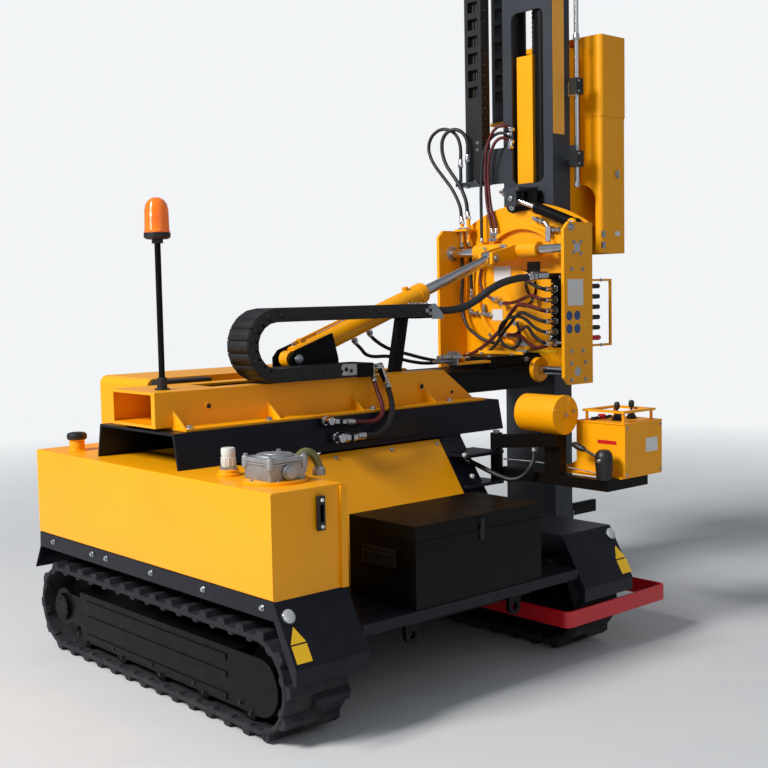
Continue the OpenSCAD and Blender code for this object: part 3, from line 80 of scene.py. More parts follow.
def at(x, y, z):
    """A place in millimetres from the middle of the tracks, in the frame's metres."""
    return middle + Vector((x, y, z)) / 1000


camera_data = bpy.data.cameras.new("camera")
camera_data.lens = 55.39
camera_data.clip_end = 100
camera = bpy.data.objects.new("camera", camera_data)
scene.collection.objects.link(camera)
scene.camera = camera
camera.location = at(-3403.9, -4275.3, 1636.1)
yaw, pitch, roll = math.radians(-41.6), math.radians(4.4), math.radians(-1.1)
turn = Matrix.Rotation(yaw, 4, "Z") @ Matrix.Rotation(math.pi / 2 - pitch, 4, "X")
camera.rotation_euler = (turn @ Matrix.Rotation(roll, 4, "Z")).to_euler()

# Hydraulic hoses
# Braided rubber hoses in their fixed factory lengths: two from the beam chain to the
# saddle, one to the valve bank, three at the mast and one to the console. Each is
# crimped at both ends and follows the route of its solid in the drawing.


def linear(code):
    """An sRGB hex colour as the linear values that a shader takes."""
    parts = [int(code[i:i + 2], 16) / 255 for i in (1, 3, 5)]
    return [c / 12.92 if c <= 0.04045 else ((c + 0.055) / 1.055) ** 2.4 for c in parts] + [1]


def add_node(tree, kind, inputs=None, **settings):
    """Adds a shader node, sets its attributes, and sets its inputs or links them.

    An input takes a value, another node's socket, or a node, which gives its first output.
    """
    node = tree.nodes.new(kind)
    for name, value in settings.items():
        setattr(node, name, value)
    for name, value in (inputs or {}).items():
        if isinstance(value, bpy.types.Node):
            value = next(output for output in value.outputs if output.enabled)
        if isinstance(value, bpy.types.NodeSocket):
            tree.links.new(value, node.inputs[name])
        else:
            node.inputs[name].default_value = value
    return node


slots = {}


def new_material(name, slot):
    """An empty node material for a slot of the frame, its tree and its place on the object."""
    slots[name] = slot
    material = bpy.data.materials.new(name)
    material.use_nodes = True
    tree = material.node_tree
    tree.nodes.clear()
    return material, tree, add_node(tree, "ShaderNodeTexCoord").outputs["Object"]


def blotted(tree, vector, millimetres, code, other_code, low=0.0, high=1.0, detail=3.0):
    """Two colours that change in soft blots of about so many millimetres."""
    cloud = add_node(tree, "ShaderNodeTexNoise", {
        "Vector": vector, "Scale": 1000 / millimetres, "Detail": detail, "Roughness": 0.55})
    share = add_node(tree, "ShaderNodeMapRange", {"Value": cloud, "From Min": low, "From Max": high})
    return add_node(tree, "ShaderNodeMix", {
        "Factor": share, "A": linear(code), "B": linear(other_code)}, data_type="RGBA")


def grained(tree, vector, millimetres, rough, spread, depth_mm, strength, detail, harsh=0.55):
    """A fine grain, as the roughness and the relief that it gives a surface."""
    grain = add_node(tree, "ShaderNodeTexNoise", {
        "Vector": vector, "Scale": 1000 / millimetres, "Detail": detail, "Roughness": harsh})
    level = add_node(tree, "ShaderNodeMapRange", {
        "Value": grain, "From Min": 0.3, "From Max": 0.7, "To Min": rough, "To Max": rough + spread})
    relief = add_node(tree, "ShaderNodeBump", {
        "Height": grain, "Distance": depth_mm / 1000, "Strength": strength})
    return {"Roughness": level, "Normal": relief}


def surfaced(tree, **inputs):
    """Ends a material in one principled surface."""
    named = {name.replace("_", " "): value for name, value in inputs.items()}
    shader = add_node(tree, "ShaderNodeBsdfPrincipled", named)
    add_node(tree, "ShaderNodeOutputMaterial", {"Surface": shader})


def extruded_rubber(name, slot, code, worn_code):
    """Nitrile rubber over braid: satin, with the fine ripple of the wrapping cloth."""
    material, tree, vector = new_material(name, slot)
    surfaced(tree, Base_Color=blotted(tree, vector, 60, code, worn_code, 0.35, 0.7),
             **grained(tree, vector, 5, 0.42, 0.16, 0.4, 0.5, 2.0))
    return material


def threaded(name, route, diameter, resolution=8):
    """A round smooth line through a route's points, and the points that it follows."""
    curve = bpy.data.curves.new(name, "CURVE")
    curve.dimensions = "3D"
    curve.resolution_u = resolution
    spline = curve.splines.new("BEZIER")
    spline.bezier_points.add(len(route) - 1)
    for knot, place in zip(spline.bezier_points, route):
        knot.co = at(*place)
        knot.handle_left_type = knot.handle_right_type = "AUTO"
    drawn = bpy.data.objects.new(name, curve)
    scene.collection.objects.link(drawn)
    path = [v.co.copy() for v in drawn.to_mesh().vertices]
    drawn.to_mesh_clear()
    curve.bevel_depth = diameter / 2000
    curve.bevel_resolution = 3
    curve.use_fill_caps = True
    mesh = bpy.data.meshes.new_from_object(drawn)
    bpy.data.objects.remove(drawn)
    mesh.name = name
    mesh.shade_smooth()
    tube = bpy.data.objects.new(name, mesh)
    scene.collection.objects.link(tube)
    return tube, path


def hose(name, route, diameter, cover, bodies, resolution=6):
    """One hose on its route, which rides on a body, or is left unparented where it is drawn when it
    spans two.
    """
    tube, path = threaded(name, route, diameter, resolution)
    tube.data.materials.append(cover)
    if len(bodies) == 2:
        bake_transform(tube)
    else:
        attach(tube, *bodies)
    return tube


# Black and red-brown hose covers
black_hose = extruded_rubber("extruded_nitrile_hose_black", "hose_rubber", "#101012", "#17181A")
red_cover = extruded_rubber("braided_hose_red", "hose_rubber", "#5E1016", "#4A0C10")
hose_routes = {
    "saddle_hose_a": (22, ("root",), [
        (258, -84, 1218), (247, -117, 1175), (237, -152, 1133), (217, -183, 1092),
        (177, -204, 1061), (124, -214, 1051), (68, -218, 1054), (13, -218, 1060)]),
    "saddle_hose_b": (28, ("root",), [
        (344, -84, 1179), (315, -136, 1132), (285, -173, 1093), (244, -205, 1053),
        (193, -222, 1014), (130, -231, 993), (63, -232, 994)]),
    "carriage_hose": (38, ("beam", "tilt_head"), [
        (702, -60, 1545), (777, -80, 1545), (850, -104, 1560), (912, -135, 1596),
        (965, -169, 1641), (1027, -200, 1676), (1098, -227, 1695), (1175, -235, 1702)]),
    "mast_hose_a": (20, ("carriage", "mast"), [
        (1560, 608, 2071), (1560, 615, 2121), (1560, 636, 2167), (1560, 663, 2211),
        (1560, 694, 2251), (1560, 729, 2288), (1560, 765, 2325), (1560, 800, 2361),
        (1560, 833, 2400), (1559, 859, 2444), (1560, 872, 2493), (1564, 861, 2542),
        (1573, 828, 2579), (1585, 782, 2595), (1599, 734, 2586), (1611, 695, 2556),
        (1618, 673, 2511), (1620, 665, 2461), (1620, 666, 2410)]),
    "mast_hose_b": (22, ("carriage", "mast"), [
        (1560, 558, 2098), (1560, 567, 2153), (1560, 589, 2204), (1560, 618, 2252),
        (1560, 654, 2295), (1560, 691, 2337), (1560, 726, 2381), (1560, 750, 2431),
        (1560, 760, 2486), (1564, 751, 2541), (1578, 713, 2578), (1598, 662, 2578),
        (1614, 623, 2543), (1620, 608, 2490), (1620, 609, 2434)]),
    "feed_hose": (18, ("mast", "carriage"), [
        (1640, 310, 2520), (1620, 353, 2529), (1601, 393, 2510), (1588, 421, 2472),
        (1581, 439, 2427), (1576, 449, 2379), (1573, 453, 2331), (1571, 455, 2282),
        (1569, 455, 2233), (1567, 455, 2184), (1565, 453, 2135), (1563, 451, 2087),
        (1561, 448, 2038), (1559, 446, 1989), (1558, 445, 1940)]),
    "console_hose": (24, ("root", "console"), [
        (706, -270, 808), (717, -326, 788), (728, -383, 767), (740, -439, 748),
        (758, -496, 737), (780, -547, 758), (797, -577, 800), (812, -586, 836),
        (820, -582, 872)]),
}
for node, (diameter, bodies, route) in hose_routes.items():
    cover = red_cover if node == "saddle_hose_a" else black_hose
    made = hose(node + "_rubber", route, diameter, cover, bodies, 8)
    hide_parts(node)

# Studio
# A pale floor that takes the machine's shadow, a white surround that only the camera and
# rays through clear things see, one broad lamp from the tank's side and a weaker one in front.
scene.view_settings.view_transform = "Standard"


def white_surround():
    """World: white to the camera and through clear things, a soft grey light for the rest."""
    world = bpy.data.worlds.new("surround")
    world.use_nodes = True
    tree = world.node_tree
    tree.nodes.clear()
    path = add_node(tree, "ShaderNodeLightPath")
    seen = add_node(tree, "ShaderNodeMath", {
        0: path.outputs["Is Camera Ray"], 1: path.outputs["Is Transmission Ray"]},
        operation="MAXIMUM")
    light = add_node(tree, "ShaderNodeBackground", {
        "Color": linear("#DCE4EE"), "Strength": 0.38})
    white = add_node(tree, "ShaderNodeBackground", {
        "Color": linear("#F2F4F6"), "Strength": 1.0})
    mix = add_node(tree, "ShaderNodeMixShader", {
        "Fac": seen, 1: light, 2: white})
    add_node(tree, "ShaderNodeOutputWorld", {"Surface": mix})
    scene.world = world


def lamp(name, place, target, size, power):
    """A square lamp that faces a point."""
    data = bpy.data.lights.new(name, "AREA")
    data.shape = "RECTANGLE"
    data.size, data.size_y = size
    data.energy = power
    lamp_object = bpy.data.objects.new(name, data)
    scene.collection.objects.link(lamp_object)
    lamp_object.location = place
    lamp_object.rotation_euler = (Vector(target) - place).to_track_quat("-Z", "Y").to_euler()


white_surround()
lamp("key", at(-9500, 900, 8800), at(300, 0, 1200), (3.6, 3.6), 1780)
lamp("front", at(-500, -7500, 4600), at(500, 0, 1400), (4.5, 3.5), 36)

floor_mesh = bpy.data.meshes.new("floor")
bm = bmesh.new()
bmesh.ops.create_grid(bm, x_segments=1, y_segments=1, size=30)
bm.to_mesh(floor_mesh)
bm.free()
floor = bpy.data.objects.new("floor", floor_mesh)
scene.collection.objects.link(floor)
floor_paint, tree, vector = new_material("floor_pale", None)
tone = blotted(tree, vector, 330, "#C9CACB", "#D3D3D2", detail=4.0)
matt = add_node(tree, "ShaderNodeBsdfPrincipled", {"Base Color": tone, "Roughness": 0.9})
glow = add_node(tree, "ShaderNodeEmission", {"Color": linear("#F2F4F6"), "Strength": 1.0})
away = add_node(tree, "ShaderNodeVectorMath", {0: vector}, operation="LENGTH")
distant = add_node(tree, "ShaderNodeMapRange", {
    "Value": away.outputs["Value"], "From Min": 3.2, "From Max": 9.0})
seen = add_node(tree, "ShaderNodeLightPath").outputs["Is Camera Ray"]
far = add_node(tree, "ShaderNodeMath", {0: distant, 1: seen}, operation="MULTIPLY")
fade = add_node(tree, "ShaderNodeMixShader", {"Fac": far, 1: matt, 2: glow})
add_node(tree, "ShaderNodeOutputMaterial", {"Surface": fade})
floor_mesh.materials.append(floor_paint)

# Rubber tracks
# One endless rubber band a side, moulded over steel cords, with staggered lugs outside
# and drive teeth inside. It is wrapped round its sprocket, idler and rollers and stays
# as one fixed loop, matt and a little dusty where the ground rubs it.


def dusted(tree, vector, shade, dust_code, top, strength):
    """Lays dust over a colour, in blots that thin out up to a height in metres."""
    split = add_node(tree, "ShaderNodeSeparateXYZ", {"Vector": vector})
    low = add_node(tree, "ShaderNodeMapRange", {
        "Value": split.outputs["Z"], "From Max": top, "To Min": strength, "To Max": 0.0})
    cloud = add_node(tree, "ShaderNodeTexNoise", {
        "Vector": vector, "Scale": 1000 / 70, "Detail": 5.0, "Roughness": 0.65})
    blots = add_node(tree, "ShaderNodeMapRange", {"Value": cloud, "From Min": 0.35, "From Max": 0.75})
    amount = add_node(tree, "ShaderNodeMath", {0: low, 1: blots}, operation="MULTIPLY")
    return add_node(tree, "ShaderNodeMix", {
        "Factor": amount, "A": shade, "B": linear(dust_code)}, data_type="RGBA")


def moulded_rubber(name, slot, code, worn_code, dust_code):
    """Carbon-black rubber from a mould: matt, a little grey where the ground rubs it."""
    material, tree, vector = new_material(name, slot)
    shade = blotted(tree, vector, 30, code, worn_code)
    surfaced(tree, Base_Color=dusted(tree, vector, shade, dust_code, 0.5, 0.14),
             Specular_IOR_Level=0.22, **grained(tree, vector, 4, 0.6, 0.25, 0.5, 0.6, 4.0, 0.7))
    return material


def cuboid(bm, low, high):
    """Adds a block between two corners, given in millimetres."""
    low, high = at(*low), at(*high)
    shape = Matrix.Translation((low + high) / 2) @ Matrix.Diagonal((*(high - low), 1))
    return bmesh.ops.create_cube(bm, size=1, matrix=shape)["verts"]


def rod(bm, start, end, diameter, segments):
    """Adds a closed cylinder or prism from one place to another."""
    start, end = at(*start), at(*end)
    axis = end - start
    shape = Matrix.Translation((start + end) / 2) @ axis.to_track_quat("Z", "Y").to_matrix().to_4x4()
    bmesh.ops.create_cone(bm, cap_ends=True, segments=segments, radius1=diameter / 2000,
                          radius2=diameter / 2000, depth=axis.length, matrix=shape)


def finished(name, bm, material, slot, smooth=35):
    """Makes a bmesh one object in one material, smooth but for its sharper edges."""
    bmesh.ops.recalc_face_normals(bm, faces=bm.faces)
    mesh = bpy.data.meshes.new(name)
    bm.to_mesh(mesh)
    bm.free()
    mesh.materials.append(material)
    made = bpy.data.objects.new(name, mesh)
    scene.collection.objects.link(made)
    mesh.shade_smooth()
    mesh.set_sharp_from_angle(angle=math.radians(smooth))
    slot = slot or slots[material.name]
    return made


def piece(name, bm, material, body, edge, turns=2, replaces=None, slot=None):
    """One finished object with its edges rounded by so many mm, which rides on a body."""
    made = finished(name, bm, material, slot)
    if edge:
        rounded = made.modifiers.new("rounded_edges", "BEVEL")
        rounded.width = edge / 1000
        rounded.segments = turns
        rounded.limit_method = "ANGLE"
        rounded.angle_limit = math.radians(35)
        rounded.harden_normals = True
    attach(made, body)
    if replaces:
        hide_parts(replaces)


def on_loop(share, radius, straight, rise):
    """A point and its turn at a share of the loop's length, from the top run's rear."""
    arc = math.pi * radius
    s = share * (4 * straight + 2 * arc)
    if s < 2 * straight:
        return s - straight, rise + radius, 0.0
    if s < 2 * straight + arc:
        turn = (s - 2 * straight) / radius
        return straight + radius * math.sin(turn), rise + radius * math.cos(turn), -turn
    if s < 4 * straight + arc:
        return 3 * straight + arc - s, rise - radius, math.pi
    turn = math.pi + (s - 4 * straight - arc) / radius
    return -straight + radius * math.sin(turn), rise + radius * math.cos(turn), -turn


def frustum(bm, place, foot, top):
    """Adds a block from its foot's and its top's two ends, half length and height."""
    block = bmesh.ops.create_cube(bm, size=1)["verts"]
    for v in block:
        x0, x1, reach, z = top if v.co.z > 0 else foot
        v.co = Vector((x1 if v.co.x > 0 else x0, math.copysign(reach, v.co.y), z))
    bmesh.ops.transform(bm, matrix=place, verts=block)


# Carbon-black track rubber with a grey bloom where it wears
track_rubber = moulded_rubber("moulded_rubber_track", "track_rubber", "#1B1C20", "#292B30", "#7F7A73")
lug_count = 34
lug_height = 0.024
band_thick = 0.020
band_steps = 120
chamfer = 0.004
teeth = [(-0.030, 0.030, 0.017, 0.024), (-0.148, -0.122, 0.022, 0.010), (0.122, 0.148, 0.022, 0.010)]
for node in ("track_left", "track_right"):
    low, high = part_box(node)
    half = (high.x - low.x) / 2
    across = (high.x + low.x) / 2
    rise = high.z / 2
    radius = rise - lug_height
    straight = (high.y - low.y) / 2 - rise
    profile = [(-half, -chamfer), (chamfer - half, 0), (half - chamfer, 0), (half, -chamfer)]
    profile += [(x, -band_thick - lift) for x, lift in reversed(profile)]
    bm = bmesh.new()
    rim = []
    for i in range(band_steps):
        y, z, turn = on_loop(i / band_steps, radius, straight, rise)
        out = Vector((0, math.sin(-turn), math.cos(turn)))
        rim.append(
            [bm.verts.new(Vector((across + x, middle.y + y, z)) + lift * out) for x, lift in profile])
    for i, here in enumerate(rim):
        ahead = rim[(i + 1) % band_steps]
        for j in range(8):
            k = (j + 1) % 8
            bm.faces.new((here[j], here[k], ahead[k], ahead[j]))
    for i in range(2 * lug_count):
        y, z, turn = on_loop((i + 0.5) / (2 * lug_count) % 1, radius, straight, rise)
        place = Matrix.Translation((across, middle.y + y, z)) @ Matrix.Rotation(turn, 4, "X")
        inner, outer = (-half + 0.003, 0.022) if i % 2 else (-0.022, half - 0.003)
        frustum(bm, place, (inner, outer, 0.031, -0.003),
                (inner + chamfer, outer - chamfer, 0.017, lug_height - 0.0015))
    for i in range(lug_count):
        y, z, turn = on_loop((i + 0.25) / lug_count, radius - band_thick, straight, rise)
        place = Matrix.Translation((across, middle.y + y, z)) @ Matrix.Rotation(turn, 4, "X")
        for x0, x1, reach, deep in teeth:
            frustum(bm, place, (x0, x1, reach * 0.6, -deep), (x0, x1, reach, 0.003))
    piece(node + "_rubber", bm, track_rubber, "root", 3, replaces=node)

# Running gear
# Cast drive sprocket, idler and five rollers a side between welded frame plates, all
# black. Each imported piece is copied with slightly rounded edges, as ground and sprayed
# plate has them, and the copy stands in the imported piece's place.


def sprayed_enamel(name, slot, code, shade_code, rough, dust_top=0.0, shine=0.5):
    """Two-pack machine enamel over steel: glossy with a slight orange peel."""
    material, tree, vector = new_material(name, slot)
    shade = blotted(tree, vector, 420, code, shade_code, 0.35, 0.7, 2.0)
    if dust_top:
        shade = dusted(tree, vector, shade, "#8A8378", dust_top, 0.04)
    film = add_node(tree, "ShaderNodeTexNoise", {
        "Vector": vector, "Scale": 1000 / 55, "Detail": 5.0, "Roughness": 0.65})
    level = add_node(tree, "ShaderNodeMapRange", {
        "Value": film, "From Min": 0.3, "From Max": 0.75, "To Min": rough, "To Max": rough + 0.14})
    peel = add_node(tree, "ShaderNodeTexNoise", {
        "Vector": vector, "Scale": 1000 / 7, "Detail": 1.0, "Roughness": 0.55})
    relief = add_node(tree, "ShaderNodeBump", {"Height": peel, "Distance": 0.0001, "Strength": 0.35})
    surfaced(tree, Base_Color=shade, Roughness=level, Normal=relief, Specular_IOR_Level=shine,
             Coat_Weight=0.3 * shine, Coat_Roughness=0.12)
    return material


def bare_metal(name, slot, code, shade_code, rough, grain_mm, depth_mm, metallic=1.0):
    """Metal left bare or plated, with the grain of its turning, casting or plating."""
    material, tree, vector = new_material(name, slot)
    surfaced(tree, Base_Color=blotted(tree, vector, 45, code, shade_code, 0.3, 0.7), Metallic=metallic,
             **grained(tree, vector, grain_mm, rough, 0.16, depth_mm, 0.6, 4.0, 0.6))
    return material


def packed(node):
    """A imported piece's mesh, with its flat triangles joined to whole faces."""
    bm = bmesh.new()
    bm.from_mesh(frame["nodes"][node].data)
    bmesh.ops.remove_doubles(bm, verts=bm.verts, dist=0.00003)
    bmesh.ops.dissolve_limit(bm, angle_limit=math.radians(0.6), verts=bm.verts, edges=bm.edges)
    return bm


def rounded_copy(node, material, edge, turns=2, slot=None):
    """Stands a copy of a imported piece, with rounded edges, in that piece's place."""
    body = frame["nodes"][node]["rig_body"]
    piece(node + "_finish", packed(node), material, body, edge, turns, node, slot)


def around(count, radius, centre_a, centre_b, first=0.0):
    """Pairs of coordinates, evenly spread round a circle."""
    turns = [math.tau * (i + first) / count for i in range(count)]
    return [(centre_a + radius * math.cos(turn), centre_b + radius * math.sin(turn)) for turn in turns]


def bolt(bm, place, axis, across, washer=True):
    """Adds a hexagon head on its washer, both on a face at a place, along an axis."""
    place, axis = Vector(place), Vector(axis).normalized()
    if washer:
        rod(bm, place - axis, place + 2.5 * axis, across * 1.55, 20)
    rod(bm, place + 2 * axis, place + (2.5 + 0.5 * across) * axis, across * 1.15, 6)


def bolted(name, spots, axis, body, across, material=None, slot=None):
    """One piece of like bolts that all face the same way."""
    bm = bmesh.new()
    for spot in spots:
        bolt(bm, spot, axis, across)
    piece(name, bm, material or zinc, body, 0.8, slot=slot)


# Directions, seen from the machine's front
up, down = Vector((0, 0, 1)), Vector((0, 0, -1))
left, right = Vector((-1, 0, 0)), Vector((1, 0, 0))
front, rear = Vector((0, -1, 0)), Vector((0, 1, 0))
# Satin black coat, and black oxide on hardened screws
black = sprayed_enamel("sprayed_enamel_black", "black_paint", "#060606", "#080808", 0.4, 0.3, 0.12)
oxide = bare_metal("black_oxide_steel", "chrome_rod", "#2A2A2C", "#343436", 0.36, 3.0, 0.04, 0.7)
for side in ("left", "right"):
    rounded_copy("track_frame_" + side, black, 3)
    rounded_copy("running_gear_" + side, black, 4, slot="cast_steel")
roller_rows = [-683, -361.5, -40, 281.5, 603]
for name, face in (("left", -1), ("right", 1)):
    spots = [(face * 936, y + s * 34, 96 + s * 12) for y in roller_rows for s in (-1, 1)]
    bolted("roller_bolts_" + name, spots, face * right, "root", 15, oxide, slot="cast_steel")
    bm = bmesh.new()
    for y, z in around(8, 46, 773, 210):
        bolt(bm, (face * 948, y, z), face * right, 12)
    for z, w in ((110, 26), (196, 22), (262, 26)):
        cuboid(bm, (face * 935, -560, z - w / 2), (face * 941, 560, z + w / 2))
    piece("track_frame_trim_" + name, bm, black, "root", 1.5)

# Chassis, platform and fenders
# The fenders and the platform are folded sheet on the chassis, blue-black, with bolt
# heads along the skirts, a round reflector on each nose and blank stickers under it.


def moulded_plastic(name, slot, code, shade_code, rough, grain_mm=3.0, depth_mm=0.08):
    """Injection-moulded plastic: even colour, satin, with a fine spark-eroded grain."""
    material, tree, vector = new_material(name, slot)
    surfaced(tree, Base_Color=blotted(tree, vector, 90, code, shade_code),
             **grained(tree, vector, grain_mm, rough, 0.1, depth_mm, 0.4, 2.0))
    return material


def turned(bm, start, axis, profile, segments, solid=True):
    """Adds a lathe-turned shape: pairs of distance along an axis and diameter, in mm.

    A solid one is closed to the axis at both ends, any other stays as its profile says.
    """
    if solid:
        profile = [(profile[0][0], 0), *profile, (profile[-1][0], 0)]
    edge = [bm.verts.new((diameter / 2000, 0, along / 1000)) for along, diameter in profile]
    sides = [bm.edges.new(pair) for pair in zip(edge, edge[1:])]
    bmesh.ops.spin(bm, geom=edge + sides, cent=(0, 0, 0), axis=(0, 0, 1),
                   angle=math.tau, steps=segments, use_merge=True)
    fresh = {v for side in sides for v in side.verts}
    grown = list(fresh)
    while grown:
        near = [e.other_vert(v) for v in grown for e in v.link_edges]
        grown = [v for v in set(near) if v not in fresh]
        fresh.update(grown)
    aim = Vector(axis).to_track_quat("Z", "Y").to_matrix().to_4x4()
    bmesh.ops.transform(bm, matrix=Matrix.Translation(at(*start)) @ aim, verts=list(fresh))
    bmesh.ops.remove_doubles(bm, verts=list(fresh), dist=0.000005)


# Blue-black coat, bright zinc on bolts, which is softer than chrome, and black nylon caps
blue_black = sprayed_enamel(
    "sprayed_enamel_blue_black", "blue_black_paint", "#0C0F19", "#0F121D", 0.34, 0.7, 0.2)
zinc = bare_metal("bright_zinc_plating", "chrome_rod", "#C3C6C9", "#AEB2B6", 0.28, 3.0, 0.03)
cap_plastic = moulded_plastic("moulded_plastic_black", "black_plastic", "#131314", "#19191A", 0.4)
rounded_copy("chassis_frame", black, 3)
rounded_copy("platform", blue_black, 2, slot="black_paint")
rounded_copy("fender_left", blue_black, 2)
rounded_copy("fender_right", blue_black, 2)
skirt_rows = [-846, -461, -74, 301, 427, 800]
bolted("skirt_bolts_left", [(-966, y, 514) for y in skirt_rows], left, "root", 16)
bolted("skirt_bolts_right", [(966, y, 514) for y in skirt_rows], right, "root", 16)
nose_out = Vector((0, -220, 127)).normalized()
nose_down = Vector((0, -127, -220)).normalized()
bm = bmesh.new()
lens = bmesh.new()
for x, along in ((-925, 62), (938, 42)):
    spot = Vector((x, -913, 545)) + along * nose_down
    turned(bm, spot - nose_out, nose_out, [(0, 62), (5, 62), (7, 58)], 40)
    turned(lens, spot + 5 * nose_out, nose_out, [(0, 52), (4, 52), (6.5, 44), (7.5, 20)], 40)
piece("reflector_rims", bm, cap_plastic, "root", 0.8)
# Clear acrylic over a prism back: white and bright, with a faint honeycomb
reflector, tree, vector = new_material("prismatic_acrylic_clear", None)
cells = add_node(tree, "ShaderNodeTexVoronoi", {"Vector": vector, "Scale": 260.0}, feature="F1")
walls = add_node(tree, "ShaderNodeMapRange", {
    "Value": cells.outputs["Distance"], "From Min": 0.1, "From Max": 0.7})
shade = add_node(tree, "ShaderNodeMix", {
    "Factor": walls, "A": linear("#E9EBEC"), "B": linear("#B4B9BD")}, data_type="RGBA")
relief = add_node(tree, "ShaderNodeBump", {
    "Height": cells.outputs["Distance"], "Distance": 0.0006, "Strength": 0.7})
surfaced(tree, Base_Color=shade, Roughness=0.14, Normal=relief, Metallic=0.35, Coat_Weight=0.8,
         Coat_Roughness=0.03)
piece("reflector_lenses", lens, reflector, "root", 0.8)


def leaning_plate(bm, corners, out, thick):
    """Adds a thin plate with its corners on a face, standing out along a direction."""
    verts = [bm.verts.new(at(*(Vector(c) + 0.2 * out))) for c in corners]
    face = bm.faces.new(verts)
    grown = bmesh.ops.extrude_face_region(bm, geom=[face])["geom"]
    fresh = [g for g in grown if isinstance(g, bmesh.types.BMVert)]
    bmesh.ops.translate(bm, verts=fresh, vec=Vector(out) * thick / 1000)


# Self-adhesive vinyl: smooth and yellow, with nothing printed on it
yellow_vinyl = moulded_plastic(
    "blank_vinyl_yellow", "yellow_paint", "#F5C21A", "#EFBB14", 0.32, 20.0, 0.02)
bm = bmesh.new()
for x in (-919, 939):
    top = Vector((x, -913, 545)) + 100 * nose_down
    foot = top + 62 * nose_down
    low = foot + 72 * nose_down
    wide = Vector((34, 0, 0))
    leaning_plate(bm, [top, foot - wide, foot + wide], nose_out, 0.8)
    leaning_plate(bm, [foot - wide + 6 * nose_down, low - wide, low + wide,
        foot + wide + 6 * nose_down], nose_out, 0.8)
piece("blank_stickers", bm, yellow_vinyl, "root", 0)

# Oil tank
# Folded steel box on the left fender, sprayed yellow. On top stand the filler with its
# ribbed cap, a breather and the cast return filter, and a level gauge is on its front.

# Yellow machine enamel, the machine's main colour
yellow = sprayed_enamel("sprayed_enamel_yellow", "yellow_paint", "#FBA800", "#F5A200", 0.34, shine=0.32)
# Sand-cast aluminium is pale and matt with a coarse skin
aluminium = bare_metal("sand_cast_aluminium", "cast_aluminium", "#B9BBBD", "#A4A7AA", 0.48, 2.5, 0.25)
# White moulded caps are satin
white_plastic = moulded_plastic("moulded_plastic_white", None, "#D8D8D4", "#CDCDC8", 0.45)
tank_top = 935
socket = (-562, -683)
filler, filter_middle, breather = (-855, 748), (-775, -683), (-815, -433)
rounded_copy("oil_tank", yellow, 3)
bm = bmesh.new()
turned(bm, (*filler, tank_top), up, [(0, 96), (4, 96), (5, 70), (48, 70), (50, 76), (56, 76)], 40)
piece("filler_neck_finish", bm, yellow, "root", 1, replaces="filler_neck")
bm = bmesh.new()
turned(bm, (*filler, 988), up, [(0, 84), (3, 88), (24, 88), (29, 80), (32, 60)], 48)
for x, y in around(18, 43, *filler):
    rod(bm, (x, y, 991), (x, y, 1011), 6, 8)
piece("filler_cap", bm, cap_plastic, "root", 1)

bm = bmesh.new()
turned(bm, (*filter_middle, tank_top), up, [(0, 250), (12, 250)], 64)
turned(bm, (*breather, tank_top), up, [(0, 92), (10, 92), (12, 80), (24, 80), (26, 60)], 48)
piece("filter_flange", bm, yellow, "root", 1.5)
bm = bmesh.new()
cuboid(bm, (-857, -765, 947), (-693, -601, 1006))
cuboid(bm, (-864, -772, 1006), (-686, -594, 1013))
cuboid(bm, (-864, -772, 1014.5), (-686, -594, 1031))
corners = [(x, y) for x in (-853, -697) for y in (-761, -605)]
for x, y in corners:
    rod(bm, (x, y, 990), (x, y, 1033), 30, 24)
turned(bm, (*filter_middle, 1030), up, [(0, 146), (6, 146), (10, 132), (10, 84), (14, 80)], 48)
rod(bm, (-775, -765, 977), (-775, -782, 977), 60, 32)
rod(bm, (-693, -700, 978), (-668, -700, 978), 56, 32)
piece("return_filter_housing", bm, aluminium, "root", 3, 3, replaces="return_filter")
bm = bmesh.new()
for x, y in corners:
    bolt(bm, (x, y, 1033), up, 15)
for x, y in around(6, 108, *filter_middle):
    bolt(bm, (x, y, 947), up, 9)
rod(bm, (-775, -779, 977), (-775, -790, 977), 52, 6)
rod(bm, (-670, -700, 978), (-655, -700, 978), 58, 6)
rod(bm, (*breather, 959), (*breather, 972), 70, 6)
piece("filter_bolts", bm, zinc, "root", 0.8)
bm = bmesh.new()
turned(bm, (*breather, 970), up, [(0, 52), (4, 56), (40, 56), (41, 53), (44, 53), (45, 56), (70, 56),
    (75, 50)], 40)
for x, y in around(12, 28, *breather):
    rod(bm, (x, y, 976), (x, y, 1008), 4, 6)
piece("tank_breather", bm, white_plastic, "root", 0.8)
bm = bmesh.new()
rod(bm, (*socket, 934), (*socket, 958), 52, 6)
rod(bm, (*socket, 954), (*socket, 968), 42, 24)
suction, _ = threaded("return_pipe", [
    (-700, -690, 1000), (-668, -689, 1016), (-636, -687, 1030), (-604, -686, 1024), (-578, -684, 998),
    (-564, -683, 966), (*socket, 940)], 34)
# Steel pipe under a yellow-green passivated plating
suction.data.materials.append(
    bare_metal("passivated_steel_pipe", "chrome_rod", "#8C8858", "#7A7748", 0.34, 4.0, 0.04, 0.5))
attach(suction, "root")
turned(bm, (-693, -640, 990), (43, 0, 10), [(0, 14), (8, 14), (9, 42), (20, 42), (22, 38)], 32)
piece("filter_gauge", bm, zinc, "root", 0.8)

bm = bmesh.new()
cuboid(bm, (-767, -933, 775), (-733, -918, 903))
piece("level_gauge_frame", bm, cap_plastic, "root", 3, 3, replaces="level_gauge")
bm = bmesh.new()
cuboid(bm, (-759, -933, 806), (-741, -930, 872))
for z in (790, 888):
    bolt(bm, (-750, -931, z), front, 13, False)
# Clear sight tube with pale oil behind it
glass = moulded_plastic("clear_polyamide_sight", None, "#C9CDC6", "#E2E4DF", 0.12, 12.0, 0.02)
piece("level_gauge_sight", bm, glass, "root", 1)

